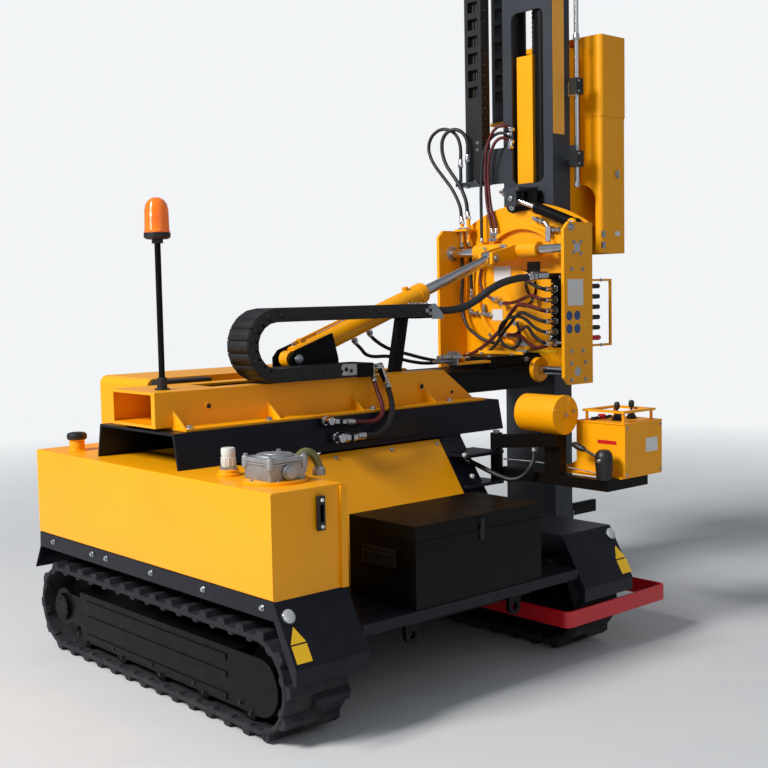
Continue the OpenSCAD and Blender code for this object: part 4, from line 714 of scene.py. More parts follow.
# Toolbox
# Black box of thin sheet on the platform, with a lift-up lid, an over-centre latch, a
# recessed grip in its end and a lid rim that overlaps the body.

# The box has a warmer and glossier black coat than the frames
tool_black = sprayed_enamel(
    "sprayed_enamel_tool_black", "black_paint", "#080704", "#0A0805", 0.32, 0.0, 0.12)
box_front, box_end = -998, -348
rounded_copy("toolbox_body", tool_black, 1.5)
rounded_copy("toolbox_lid", tool_black, 1.5)
bm = bmesh.new()
cuboid(bm, (2, box_front - 3, 655), (34, box_front, 700))
cuboid(bm, (6, box_front - 6, 636), (30, box_front - 3, 682))
rod(bm, (4, box_front - 6, 684), (32, box_front - 6, 684), 8, 12)
piece("toolbox_catch", bm, oxide, "root", 0.8)
bm = bmesh.new()
cuboid(bm, (2, box_front - 3, 675), (34, box_front, 722))
cuboid(bm, (8, box_front - 9, 682), (28, box_front - 3, 716))
rod(bm, (4, box_front - 6, 718), (32, box_front - 6, 718), 8, 12)
piece("toolbox_latch", bm, oxide, "toolbox_lid", 0.8)
bm = bmesh.new()
cuboid(bm, (box_end - 4, box_front - 3, 668), (388, box_front, 676))
cuboid(bm, (box_end - 3, box_front - 3, 668), (box_end, -605, 676))
cuboid(bm, (384, box_front - 3, 668), (387, -605, 676))
piece("toolbox_lid_rim", bm, tool_black, "toolbox_lid", 0.8)
# The grip is a moulded dish let into the end wall, with a bar across it
bm = bmesh.new()
cuboid(bm, (box_end - 4, -884, 556), (box_end, -684, 566))
cuboid(bm, (box_end - 4, -884, 622), (box_end, -684, 632))
cuboid(bm, (box_end - 4, -884, 566), (box_end, -874, 622))
cuboid(bm, (box_end - 4, -694, 566), (box_end, -684, 622))
rod(bm, (box_end - 5, -874, 606), (box_end - 5, -694, 606), 9, 16)
piece("toolbox_grip", bm, cap_plastic, "root", 1.2)
bm = bmesh.new()
cuboid(bm, (box_end - 1, -874, 566), (box_end, -694, 622))
# The dish lies in shadow, so a nearly black sheet is laid in it as painted shade
dark = moulded_plastic("painted_shade_grip_recess", "black_plastic", "#060606", "#090909", 0.7)
piece("toolbox_grip_dish", bm, dark, "root", 0)

# Engine bay
# A yellow panel leans in front of the engine, and the hood over it is folded sheet with
# rolled top edges. A black grille closes the rear, the engine is one iron block.
rounded_copy("front_panel", yellow, 2)
panel_out = Vector((0, -513, 344)).normalized()
panel_z = 903
panel_y = -517 + (panel_z - 410) / 513 * 344
panel_spots = [(x, panel_y, panel_z) for x in (-590, -412, -74, 264, 560)]
bolted("panel_bolts", panel_spots, panel_out, "root", 13)
rounded_copy("engine_hood", yellow, 3)
rounded_copy("air_box", cap_plastic, 8, 3)
# The engine's cast iron shows through a thin dark coat
iron = bare_metal("painted_cast_iron", "cast_steel", "#3A3B3D", "#303133", 0.55, 6.0, 0.4, 0.35)
rounded_copy("engine_block", iron, 6)
rounded_copy("rear_grille", black, 2)
bm = bmesh.new()
for i in range(11):
    z = 470 + 30 * i
    slat = cuboid(bm, (-560, 936, z), (530, 940, z + 14))
    bmesh.ops.rotate(bm, verts=slat, cent=at(0, 938, z + 7), matrix=Matrix.Rotation(0.35, 3, "X"))
for x0, x1 in ((-585, -560), (530, 555)):
    cuboid(bm, (x0, 936, 450), (x1, 942, 820))
piece("grille_slats", bm, black, "root", 0.8)
bm = bmesh.new()
for x in (-420, 380):
    cuboid(bm, (x - 26, 949, 888), (x + 26, 954, 936))
    rod(bm, (x, 952, 912), (x, 960, 912), 26, 24)
piece("hood_latches", bm, oxide, "hood", 1)

# Tower and saddle
# Welded plate, blue-black: the tower rises at the mast side and the saddle, a folded
# channel, spans from it to the tank and carries the beam and the hose fittings.


def ferrule(bm, start, end, diameter):
    """Adds a crimped hose end: a grooved ferrule, a swivel nut and its neck."""
    start, end = Vector(start), Vector(end)
    long = (end - start).length
    d = diameter
    grip = min(0.55 * long, 2.4 * d)
    profile = [(0, d + 4)]
    for i in range(3):
        low = grip * (i + 0.25) / 3
        profile += [(low, d + 6), (low + grip * 0.1, d + 6), (low + grip * 0.16, d + 4)]
    profile += [(grip, d + 5), (grip + 2, d - 2), (long, d - 2)]
    axis = (end - start) / long
    turned(bm, start, axis, profile, 20)
    nut = min(1.0 * d, (long - grip) * 0.7)
    rod(bm, start + (grip + (long - grip - nut) / 2) * axis,
        start + (grip + (long - grip + nut) / 2) * axis, (d + 8) * 1.12, 6)


def ends(node, first=None, last=None):
    """A hose's first or last point, and the place so many mm straight on from it."""
    route = [Vector(p) for p in hose_routes[node][2]]
    if first:
        return route[0], route[0] + first * (route[0] - route[1]).normalized()
    return route[-1], route[-1] + last * (route[-1] - route[-2]).normalized()


def fitted(bm, node, first=None, last=None):
    """Adds a drawn hose's crimped end, straight on from its first or its last point."""
    ferrule(bm, *ends(node, first, last), hose_routes[node][0])


# Hard chrome on rods and fittings mirrors its surroundings
chrome = bare_metal("hard_chrome_ground", "chrome_rod", "#D9DBDD", "#CFD2D5", 0.10, 2.0, 0.01)
rounded_copy("tower_frame", blue_black, 3)
rounded_copy("saddle", blue_black, 3)
bolted("tower_bolts", [(602, -332, 855), (652, -332, 748)], (0, -0.83, 0.557), "root", 16,
       white_plastic, slot="chrome_rod")
bm = bmesh.new()
fitted(bm, "console_hose", first=38)
for node, first in (("saddle_hose_a", 24), ("saddle_hose_b", 34)):
    d = hose_routes[node][0]
    fitted(bm, node, first=first)
    fitted(bm, node, last=84)
    elbow = ends(node, last=140)[1]
    rod(bm, ends(node, last=80)[1], elbow, d, 24)
    rod(bm, ends(node, last=96)[1], ends(node, last=120)[1], d + 14, 6)
    rod(bm, elbow + 14 * front, elbow + 34 * rear, d + 12, 24)
    rod(bm, elbow + 26 * rear, elbow + 42 * rear, d + 24, 6)
rod(bm, (249, -70, 1262), (255, -70, 1262), 34, 6)
rod(bm, (249, -70, 1288), (258, -70, 1288), 40, 6)
rod(bm, (257, -70, 1264), (263, -70, 1237), 25, 24)
rod(bm, (254, -70, 1288), (305, -78, 1290), 31, 24)
rod(bm, (297, -79, 1300), (357, -61, 1200), 31, 24)
piece("hose_fittings", bm, chrome, "root", 0.6)

# Beam
# The outer beam is a yellow welded box with an open end over the tank, a wide foot
# flange and gussets. The black inner beam slides in it and carries the lower shaft.
rounded_copy("outer_beam", yellow, 3)
rounded_copy("inner_beam", black, 3)
boss_z = 1172
bm = bmesh.new()
for x in (-790, -384, 211, 718):
    for y in (-118, 418):
        bolt(bm, (x, y, 1095), up, 24)
piece("flange_bolts", bm, zinc, "root", 1)
bm = bmesh.new()
turned(bm, (606, -33, boss_z), front, [(0, 46), (8, 46), (8, 26), (1, 26)], 40)
turned(bm, (-640, -33, boss_z), front, [(0, 40), (6, 40), (6, 22), (1, 22)], 40)
piece("beam_bosses", bm, yellow, "root", 1)
bm = bmesh.new()
rod(bm, (606, -35, boss_z), (606, -40.5, boss_z), 26, 24)
rod(bm, (-640, -35, boss_z), (-640, -39, boss_z), 22, 24)
rod(bm, (820, -34, 1130), (820, -40, 1130), 16, 6)
piece("beam_plugs", bm, oxide, "root", 0.5)
# Inside the open end the inner beam's stop and its grease fittings show
bm = bmesh.new()
cuboid(bm, (-900, -28, 1107), (-894, -2, 1232))
cuboid(bm, (-900, 310, 1107), (-894, 336, 1232))
piece("beam_end_lips", bm, yellow, "root", 2)
bm = bmesh.new()
cuboid(bm, (-620, 40, 1114), (-536, 268, 1154))
rod(bm, (-700, 120, 1134), (-620, 120, 1134), 26, 20)
rod(bm, (-700, 190, 1134), (-620, 190, 1134), 26, 20)
piece("beam_end_block", bm, black, "beam", 3)
bm = bmesh.new()
for y in (-25, 69, 180, 294):
    bolt(bm, (1398, y, 1266), right, 17)
for x, y in ((1180, 40), (1180, 268), (1360, 40), (1360, 268)):
    bolt(bm, (x, y, 1288), up, 15)
piece("manifold_bolts", bm, zinc, "beam", 0.8)
bm = bmesh.new()
cuboid(bm, (1388, -10, 1289), (1402, 318, 1306))
piece("manifold_strip", bm, yellow, "beam", 1)
shaft_x, shaft_low = 1500, 1204
bm = bmesh.new()
for s in (-1, 1):
    y = 154 + s * 170
    turned(bm, (shaft_x, y, shaft_low), s * rear, [(-2, 0), (-2, 134), (20, 134), (24, 128), (28.6, 124),
        (28.6, 52)], 48, solid=False)
piece("shaft_rings", bm, yellow, "beam", 1)

# Beacon
# An amber lamp with a ribbed polycarbonate dome on a black tube that stands on the beam.
rounded_copy("beacon_pole", black, 1)
# Amber polycarbonate with moulded ribs, lit a little from inside
amber, tree, vector = new_material("polycarbonate_lens_amber", "amber_lens")
ribs = add_node(tree, "ShaderNodeTexWave", {"Vector": vector, "Scale": 90.0}, bands_direction="Z")
relief = add_node(tree, "ShaderNodeBump", {
    "Height": ribs.outputs["Fac"], "Distance": 0.0006, "Strength": 0.6})
surfaced(tree, Base_Color=blotted(tree, vector, 60, "#F25A00", "#FF8A0A"), Roughness=0.12,
         Normal=relief, Coat_Weight=0.6, Coat_Roughness=0.04,
         Emission_Color=linear("#FF5A00"), Emission_Strength=0.12)
beacon = (-790, 85)
bm = bmesh.new()
turned(bm, (*beacon, 1905), up, [(0, 0), (0, 104), (4, 108), (10, 108), (12, 104), (96, 100),
    (120, 90), (138, 66), (148, 30), (149, 0)], 64, solid=False)
piece("beacon_dome", bm, amber, "root", 0, replaces="beacon_lamp")
bm = bmesh.new()
turned(bm, (*beacon, 1880), up, [(0, 92), (8, 112), (26, 112), (28, 104)], 64)
turned(bm, (*beacon, 1245), up, [(0, 66), (6, 66), (8, 44), (50, 42), (54, 30)], 40)
cuboid(bm, (-803, 60, 1862), (-777, 110, 1882))
piece("beacon_socket", bm, cap_plastic, "root", 1)

# Guard bar
# Red flat bar bent round the mast side's track front, bolted under the chassis.

# Signal-red machine enamel, glossy
red = sprayed_enamel("sprayed_enamel_red", "red_paint", "#D4101E", "#C60C1A", 0.33)
rounded_copy("guard_bar", red, 3)

# Beam chain
# Energy chain of moulded nylon links over the beam: the fixed run lies on the beam, the
# moving run ends on a bracket of the inner beam. Both runs and the bend are one piece.


def linked(name, node, places, size, hoses=()):
    """A chain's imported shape, with a plate and a pivot on both sides of each link.

    Hoses that run inside are given as start, end and diameter.
    """
    bm = packed(node)
    long, tall, wide = size
    for spot, slope in places:
        turn = Matrix.Translation(at(*spot)) @ Matrix.Rotation(slope, 4, "Y")
        for s in (-1, 1):
            plate = bmesh.ops.create_cube(bm, size=1, matrix=Matrix.Diagonal(
                (long / 1000, 0.006, tall / 1000, 1)))["verts"]
            edges = list({e for v in plate for e in v.link_edges})
            bevelled = bmesh.ops.bevel(
                bm, geom=edges, offset=0.0025, offset_type="OFFSET", affect="EDGES", segments=1,
                profile=0.5, material=-1, clamp_overlap=True)["verts"]
            plate = list({v for v in plate if v.is_valid} | set(bevelled))
            pivot = Matrix.Translation((-0.36 * long / 1000, s * 0.004, 0))
            pin = bmesh.ops.create_cone(
                bm, cap_ends=True, segments=14, radius1=0.011, radius2=0.009, depth=0.004,
                matrix=pivot @ Matrix.Rotation(-s * math.pi / 2, 4, "X"))["verts"]
            shift = Matrix.Translation((0, s * (wide / 2 - 1) / 1000, 0))
            bmesh.ops.transform(bm, matrix=turn @ shift, verts=plate + pin)
    for inner_hose in hoses:
        rod(bm, *inner_hose, 12)
    made = finished(name, bm, nylon, "chain_plastic", 30)
    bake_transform(made)
    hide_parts(node)


# Nylon is duller than the black caps
nylon = moulded_plastic("moulded_nylon_black", "chain_plastic", "#0E0E10", "#141416", 0.5, 2.5, 0.1)
# The bend's middle and radius, the fixed run's underside, one link, and where both runs end
bend_x, chain_z, chain_r, chain_mid = -302, 1249, 165, -7
link_h, pitch = 62, 58
upper_end, lower_end = 640, 239
link_y = -84
places = []
x = upper_end - pitch / 2
while x > bend_x + pitch / 2:
    places.append(((x, chain_mid, chain_z + 2 * chain_r - link_h / 2), 0))
    x -= pitch
x = lower_end - pitch / 2
while x > bend_x + pitch / 2:
    places.append(((x, chain_mid, chain_z + link_h / 2), math.pi))
    x -= pitch
for degrees in range(100, 261, 20):
    turn = math.radians(degrees)
    reach = (chain_r - link_h / 2) * math.cos(math.radians(10))
    x, z = bend_x + reach * math.cos(turn), chain_z + chain_r + reach * math.sin(turn)
    places.append(((x, chain_mid, z), math.pi / 2 - turn))
linked("beam_chain_links", "beam_chain", places, (pitch - 4, link_h - 10, 153))
rounded_copy("chain_anchor", black, 1.5)
rounded_copy("chain_arm", black, 2)
bm = bmesh.new()
for x in (604, 628):
    for y in (-60, -10, 40):
        bolt(bm, (x, y, 1579), up, 10)
for z in (1533, 1562):
    bolt(bm, (628, link_y, z), front, 12)
for y in (-30, 20):
    bolt(bm, (248, y, 1280), right, 12)
turned(bm, (606, link_y, 1547), front, [(-1, 20), (5, 20), (6, 16)], 24)
leaning_plate(bm, [(640, link_y, 1580), (666, link_y, 1580), (716, link_y, 1528), (716, link_y, 1504),
    (640, link_y, 1504)], front, 3)
piece("chain_end_bolts", bm, zinc, "beam", 0.6)
bm = bmesh.new()
leaning_plate(bm, [(54, link_y, 1300), (66, link_y, 1313), (150, link_y, 1310), (206, link_y, 1296),
    (206, link_y, 1276), (186, link_y, 1257), (64, link_y, 1260), (52, link_y, 1272)], front, 3)
piece("chain_foot_link", bm, zinc, "root", 0.6)
# A thin black disc on the link plate stands for its hole: painted shade
bm = bmesh.new()
turned(bm, (84, -87, 1287), front, [(0, 22), (1, 22)], 24)
piece("chain_foot_hole_shade", bm, nylon, "root", 0)
bm = bmesh.new()
fitted(bm, "carriage_hose", first=25)
piece("carriage_hose_ferrule", bm, chrome, "beam", 0.6)
# Quick couplings on a small bracket by the inner beam's top
bm = bmesh.new()
cuboid(bm, (884, -14, 1260), (892, 60, 1330))
for y, z in ((4, 1306), (34, 1284)):
    turned(bm, (760, y, z), right, [(0, 16), (30, 16), (31, 26), (66, 26), (67, 20), (96, 20), (97, 34),
        (140, 34), (142, 28), (165, 28)], 24)
piece("quick_couplings", bm, zinc, "beam", 0.6)
bm = bmesh.new()
cuboid(bm, (892, -6, 1260), (1141, 50, 1272))
cuboid(bm, (918, -6, 1290), (948, 50, 1302))
cuboid(bm, (942, -6, 1266), (948, 50, 1296))
piece("coupling_clip", bm, yellow, "beam", 1)

# Tilt cylinder
# A yellow barrel between black ears on the inner beam, with a hard-chromed rod that ends
# on the carriage's sleeve. Two hoses hang from the ports under the barrel, and a thin
# pipe runs along its top.
rounded_copy("tilt_bracket", black, 2)
rounded_copy("tilt_barrel", yellow, 3)
rounded_copy("tilt_rod", chrome, 1.5)
rounded_copy("tilt_sleeve", yellow, 3)
tilt_foot = Vector((-63, 154, 1337))
tilt_eye = Vector((1313, 154, 1810))
tilt_axis = (tilt_eye - tilt_foot).normalized()
tilt_up = Vector((-tilt_axis.z, 0, tilt_axis.x))
bm = bmesh.new()
gland = tilt_foot + 905 * tilt_axis
turned(bm, gland, tilt_axis, [(0, 58), (0, 102), (4, 104), (14, 104), (15, 98), (18, 98), (19, 90),
    (20, 70), (20, 58)], 48, solid=False)
piece("tilt_gland", bm, yellow, "tilt_barrel", 0.6)
bm = bmesh.new()
wiper = tilt_foot + 925 * tilt_axis
turned(bm, wiper, tilt_axis, [(0, 56), (0, 70), (4, 68), (5, 56)], 40, solid=False)
piece("tilt_wiper", bm, cap_plastic, "tilt_barrel", 0.4)
bm = bmesh.new()
tilt_lines = []
for along, end_y, end_z in ((509, 150, 1276), (405, 190, 1270)):
    port = tilt_foot + along * tilt_axis
    rod(bm, port - 56 * tilt_up, port - 74 * tilt_up, 34, 6)
    rod(bm, port - 66 * tilt_up, port - 84 * tilt_up, 22, 20)
    begin = port - 78 * tilt_up
    sag = (begin.z - end_z) * 0.3
    route = [begin, begin + Vector((26, 0, -22)), begin + Vector((120, end_y - 150, -62 - sag * 0.2))]
    for x, lift in ((begin.x + 260, 44), (begin.x + 400, 12), (begin.x + 520, -4), (1040, 0), (1114, 0)):
        route.append(Vector((x, end_y, end_z + lift)))
    tilt_lines.append(route)
for along in (46, 425):
    port = tilt_foot + along * tilt_axis
    rod(bm, port + 40 * tilt_up, port + 64 * tilt_up, 22, 6)
piece("tilt_ports", bm, zinc, "tilt_barrel", 0.6)
bm = bmesh.new()
rod(bm, tilt_foot + 40 * tilt_axis + 60 * tilt_up, tilt_foot + 431 * tilt_axis + 60 * tilt_up, 13, 16)
piece("tilt_pipe", bm, yellow, "tilt_barrel", 0.4)
bm = bmesh.new()
for i, route in enumerate(tilt_lines):
    hose("tilt_line_%d" % (i + 1), route, 18, black_hose, ("tilt_barrel", "beam"))
    end = route[-1]
    ferrule(bm, end + 40 * left, end + 16 * right, 18)
    rod(bm, end + 12 * right, (1142, end.y, end.z), 28, 6)
piece("tilt_line_ends", bm, zinc, "beam", 0.6)
for name, spot, reach, body in (
        ("tilt_foot_pin", tilt_foot, 78, "beam"), ("tilt_eye_pin", tilt_eye, 55, "tilt_head")):
    bm = bmesh.new()
    for s in (-1, 1):
        turned(bm, spot + s * (reach - 4) * rear, s * rear, [(0, 46), (5, 46), (6, 38), (11, 38),
            (12, 34)], 32)
    piece(name, bm, zinc, body, 0.8)

bm = bmesh.new()
for y, across in ((190, 30), (166, 22), (318, 20)):
    rod(bm, (1470, y, 1866), (1446, y, 1875), across, 6)
    rod(bm, (1450, y, 1873), (1440, y, 1878), across * 0.6, 16)
cuboid(bm, (1446, 162, 1862), (1462, 204, 1890))
piece("sleeve_fittings", bm, zinc, "tilt_head", 0.8)

# Carriage
# Two yellow side plates and an arched back plate on two chromed guide shafts, with a
# hub cover, blank plates and signs, and bulkhead fittings for the mast's hoses.

# White vinyl with nothing printed on it
white_vinyl = moulded_plastic("blank_vinyl_white", None, "#DFE0DE", "#D6D7D5", 0.32, 20.0, 0.02)
rounded_copy("carriage_frame", yellow, 3)
rounded_copy("guide_shafts", chrome, 1.5)
# Outer faces of the two side plates, and the back plate's face
near, far, back_x = -298, 646, 1609
shaft_high = 1856
bm = bmesh.new()
for y, s in ((near + 16, 1), (far - 16, -1)):
    for z in (shaft_low, shaft_high):
        if s < 0 and z == shaft_high:
            profile = [(-1, 92), (4, 92), (7, 80)]
        else:
            profile = [(-1, 84), (9, 84), (12, 76), (26, 60), (40, 58), (41, 40)]
        turned(bm, (shaft_x, y, z), s * rear, profile, 40)
piece("shaft_collars", bm, zinc, "carriage", 0.8)
bm = bmesh.new()
near_bolts = [(1469, 1883), (1526, 1884), (1468, 1831), (1526, 1826), (1451, 1743), (1541, 1742),
              (1446, 1314), (1540, 1312), (1444, 1250), (1560, 1250), (1444, 1160), (1560, 1160)]
for x, z in near_bolts:
    bolt(bm, (x, near, z), front, 15)
    bolt(bm, (x, far, z), rear, 15)
bolt(bm, (1445, near, 1960), front, 26)
for z in (1336, 1684):
    bolt(bm, (1700, near + 4, z), front, 12)
piece("carriage_bolts", bm, zinc, "carriage", 0.8)
bm = bmesh.new()
cuboid(bm, (1420, near - 1.2, 1552), (1546, near, 1690))
cuboid(bm, (back_x - 3, 268, 1690), (back_x, 396, 1776))
cuboid(bm, (back_x - 3, 334, 1466), (back_x, 416, 1530))
piece("blank_plates", bm, white_vinyl, "carriage", 0)
bm = bmesh.new()
for x in (1432, 1497):
    for z in (1500, 1431):
        turned(bm, (x, near, z), front, [(0, 50), (0.8, 50)], 40)
# Blue vinyl with nothing printed on it
blue_vinyl = moulded_plastic("blank_vinyl_blue", None, "#2E4F86", "#2A4A80", 0.32, 20.0, 0.02)
piece("blank_signs", bm, blue_vinyl, "carriage", 0)
bm = bmesh.new()
leaning_plate(bm, [(1545, near, 1436), (1581, near, 1436), (1563, near, 1472)], front, 0.8)
cuboid(bm, (back_x - 5, -70, 1290), (back_x, 300, 1306))
piece("yellow_strips", bm, yellow_vinyl, "carriage", 0)

bm = bmesh.new()
for node in ("mast_hose_a", "mast_hose_b"):
    fitted(bm, node, first=48)
for y in (608, 558):
    rod(bm, (1560, y, 1940), (1560, y, 1984), 30, 6)
    rod(bm, (1560, y, 1996), (1560, y, 2006), 38, 6)
    rod(bm, (1561 if y == 608 else 1580, y, 1894), (1560, y, 1942), 26, 20)
fitted(bm, "feed_hose", last=28)
fitted(bm, "carriage_hose", last=58)
rod(bm, (1232, -248, 1710), (1300, -258, 1712), 42, 6)
piece("carriage_fittings", bm, chrome, "carriage", 0.6)

# Valve bank
# Black cast sections on tie rods inside the near plate. Short braided hoses with crimped
# ends loop from its six ports to the back plate, and six levers stand out to the mast.
rounded_copy("valve_bank", black, 3, slot="cast_steel")
rounded_copy("valve_levers", cap_plastic, 3)
bank_foot, pitch, port_y, lever_y = 1332, 56, -235.5, -228
bm = bmesh.new()
for i in range(6):
    z = bank_foot + (i + 0.5) * pitch
    ferrule(bm, (1312, port_y, z), (1404, port_y, z), 22)
    rod(bm, (1392, port_y, z), (1410, port_y, z), 40, 6)
    turned(bm, (1585, lever_y, z + 12), right, [(0, 34), (10, 34), (12, 28), (26, 26), (30, 18),
        (37, 16)], 24)
for z in (bank_foot + 24, bank_foot + 368):
    for y in (-262, -210):
        bolt(bm, (1400, y, z), left, 11)
piece("valve_fittings", bm, chrome, "carriage", 0.6)
bm = bmesh.new()
grip = bank_foot + 40
turned(bm, (1690, lever_y, grip), right, [(0, 0), (0, 22), (6, 28), (40, 27), (72, 30), (80, 24),
    (81, 0)], 24, solid=False)
piece("valve_lever_red_grip", bm, red, "carriage", 0.4)
bm = bmesh.new()
for i in range(6):
    z = bank_foot + 40 + i * pitch
    turned(bm, (1585, lever_y, z), right, [(-6, 40), (2, 38), (10, 30), (14, 34), (20, 26), (25, 30),
        (32, 20), (36, 14)], 24)
piece("lever_bellows", bm, cap_plastic, "carriage", 0.3)
short_hoses = [
    (20, black_hose, [
        (1372, -235, 1640), (1312, -232, 1641), (1304, -190, 1654), (1330, -120, 1674),
        (1390, -40, 1680), (1460, 20, 1650), (1530, 54, 1606), (1565, 60, 1590), (1584, 60, 1584)]),
    (20, red_cover, [
        (1372, -235, 1584), (1312, -232, 1585), (1304, -190, 1596), (1350, -120, 1608),
        (1410, -20, 1600), (1460, 80, 1580), (1520, 190, 1568), (1560, 276, 1566),
        (1584, 300, 1566)]),
    (22, red_cover, [
        (1372, -235, 1528), (1312, -232, 1529), (1300, -170, 1546), (1330, -60, 1562),
        (1380, 30, 1548), (1420, 120, 1492), (1460, 210, 1428), (1500, 320, 1366),
        (1530, 430, 1312), (1565, 530, 1278), (1584, 580, 1268)]),
    (20, black_hose, [
        (1372, -235, 1472), (1312, -232, 1473), (1302, -170, 1492), (1335, -60, 1516),
        (1380, 20, 1504), (1420, 100, 1462), (1460, 200, 1402), (1500, 290, 1336),
        (1545, 400, 1284), (1584, 470, 1266)]),
    (18, black_hose, [
        (1372, -235, 1416), (1312, -232, 1418), (1304, -170, 1442), (1340, -80, 1480),
        (1380, 20, 1496), (1402, 110, 1482), (1414, 180, 1430), (1420, 184, 1376),
        (1430, 150, 1332), (1450, 110, 1322), (1485, 100, 1350), (1530, 140, 1410),
        (1566, 186, 1448), (1584, 200, 1452)]),
    (20, black_hose, [
        (1372, -235, 1360), (1312, -232, 1362), (1306, -170, 1392), (1350, -90, 1434),
        (1410, -10, 1440), (1470, 70, 1424), (1530, 160, 1396), (1566, 214, 1386),
        (1584, 226, 1384)]),
    (20, red_cover, [
        (1584, 262, 1384), (1562, 256, 1384), (1520, 180, 1390), (1490, 90, 1384), (1460, 20, 1354),
        (1436, -60, 1330), (1428, -120, 1334), (1426, -160, 1350), (1426, -178, 1372)]),
    (20, black_hose, [
        (1562, 608, 1904), (1560, 606, 1830), (1558, 604, 1714), (1550, 602, 1560),
        (1538, 560, 1450), (1528, 470, 1386), (1540, 400, 1352), (1570, 350, 1338),
        (1584, 336, 1336)]),
    (20, black_hose, [
        (1582, 558, 1904), (1578, 554, 1830), (1576, 552, 1760), (1578, 552, 1690),
        (1584, 552, 1620)]),
    (16, red_cover, [
        (1586, 390, 1910), (1580, 420, 1860), (1576, 458, 1790), (1572, 474, 1720),
        (1568, 460, 1660), (1566, 424, 1616), (1574, 380, 1594), (1584, 356, 1590)])]
for i, (diameter, cover, route) in enumerate(short_hoses):
    hose("valve_hose_%d" % (i + 1), route, diameter, cover, ("carriage",))
bm = bmesh.new()
for *_, route in short_hoses[:6] + short_hoses[7:8] + short_hoses[9:]:
    end = Vector(route[-1])
    turned(bm, end + 30 * left, right, [(0, 26), (6, 27), (8, 25), (14, 27), (16, 25),
        (22, 27), (24, 22), (30, 22)], 20)
    rod(bm, end + 4 * left, end + 14 * right, 34, 6)
    rod(bm, end, (back_x, end.y, end.z), 22, 24)
turned(bm, (back_x, 187, 1320), left, [(0, 96), (6, 96), (9, 88)], 40)
rod(bm, (1584, 262, 1384), (back_x, 262, 1384), 30, 6)
ferrule(bm, (1578, 552, 1650), (1584, 552, 1596), 20)
rod(bm, (1584, 552, 1600), (back_x, 552, 1600), 26, 6)
ferrule(bm, (1426, -172, 1362), (1426, -190, 1392), 20)
rod(bm, (1426, -180, 1392), (1426, -200, 1392), 28, 6)
piece("bulkhead_elbows", bm, chrome, "carriage", 0.6)
# Plated adapters on the back plate: two rows of unions with their risers
riser_x = 1592
bm = bmesh.new()
for y0, y1, z0, z1, y_up in ((574, 412, 1510, 1499, 466), (425, 262, 1384, 1384, 328)):
    rod(bm, (riser_x, y0, z0), (riser_x, y1, z1), 20, 20)
    for share in (0.1, 0.35, 0.62, 0.86):
        y = y0 + share * (y1 - y0)
        z = z0 + share * (z1 - z0)
        rod(bm, (riser_x, y - 9, z), (riser_x, y + 9, z), 34, 6)
    rod(bm, (riser_x, y_up, z1), (riser_x, y_up, z1 + 62), 18, 20)
    rod(bm, (riser_x, y_up, z1 + 22), (riser_x, y_up, z1 + 40), 30, 6)
    rod(bm, (riser_x, y_up, z1), (back_x, y_up, z1), 24, 6)
for y0, z0, y1, z1, across, sides in (
        (574, 1502, 574, 1536, 22, 20), (87, 2034, 1, 2003, 20, 20), (64, 2026, 46, 2019, 34, 6),
        (30, 2013, 14, 2007, 34, 6), (1, 2006, -30, 1968, 24, 20), (-44, 1962, -116, 1955, 18, 20),
        (-62, 1960, -78, 1958, 32, 6), (-92, 1960, -108, 1958, 32, 6)):
    rod(bm, (riser_x, y0, z0), (riser_x, y1, z1), across, sides)
rod(bm, (riser_x, 1, 2003), (back_x, 1, 2003), 24, 6)
piece("back_adapters", bm, zinc, "carriage", 0.6)
bm = bmesh.new()
cuboid(bm, (1572, -52, 1898), (back_x, -18, 1984))
piece("back_check_block", bm, aluminium, "carriage", 3)
hub = (174, 1650)
bm = bmesh.new()
turned(bm, (1589, *hub), left, [(0, 196), (3, 196), (4, 193)], 64)
piece("hub_cap", bm, yellow, "mast", 0)
# A thin black plate on the back plate stands for an opening in it: painted shade
bm = bmesh.new()
cuboid(bm, (back_x - 3, 51, 1719), (back_x, 145, 1794))
piece("back_opening_shade", bm, nylon, "carriage", 1)

# Swing cylinder and slewing plate
# A black barrel pinned to the near plate pushes the mast's ear with a chromed rod and
# turns the mast on its round slewing plate.
rounded_copy("swing_barrel", black, 2)
rounded_copy("swing_rod", chrome, 1.2)
rounded_copy("swing_plate", black, 2)
swing_foot = Vector((1560, -236, 1985))
swing_eye = Vector((1560, 190, 2145))
swing_axis = (swing_eye - swing_foot).normalized()
bm = bmesh.new()
mouth = swing_foot + 286 * swing_axis
turned(bm, mouth, swing_axis, [(-20, 60), (-20, 64), (0, 64), (2, 58), (5, 56), (6, 30), (-20, 30)], 40,
    solid=False)
piece("swing_gland", bm, black, "swing_barrel", 0.4)
swing_pins = (("swing_foot_pin", swing_foot, "carriage"), ("swing_eye_pin", swing_eye, "mast"))
for name, spot, body in swing_pins:
    bm = bmesh.new()
    for s in (-1, 1):
        turned(bm, spot + s * 36 * right, s * right, [(0, 32), (4, 32), (5, 22), (9, 22)], 24)
    piece(name, bm, zinc, body, 0.5)
bm = bmesh.new()
for y, z in around(16, 262, *hub, 0.5):
    bolt(bm, (1634, y, z), left, 19, False)
piece("slewing_bolts", bm, oxide, "mast", 0.6)

ear_x = 1604
bm = bmesh.new()
leaning_plate(bm, [(ear_x, 296, 2190), (ear_x, 60, 2204), (ear_x, 60, 2128), (ear_x, 112, 2082),
    (ear_x, 246, 2072), (ear_x, 276, 2082), (ear_x, 290, 2108), (ear_x, 296, 2150)], left, 6)
cuboid(bm, (1600, 72, 2150), (1656, 290, 2186))
piece("swing_ear_plate", bm, black, "mast", 1)
bm = bmesh.new()
turned(bm, (1598, 246, 2106), left, [(-1, 46), (3, 46), (4, 24), (6, 24)], 32)
rod(bm, (1602, 286, 2168), (1586, 300, 2184), 26, 6)
rod(bm, (1590, 298, 2182), (1570, 312, 2196), 18, 20)
rod(bm, (1600, 262, 2176), (1586, 262, 2190), 22, 20)
piece("swing_ear_fittings", bm, zinc, "mast", 0.6)

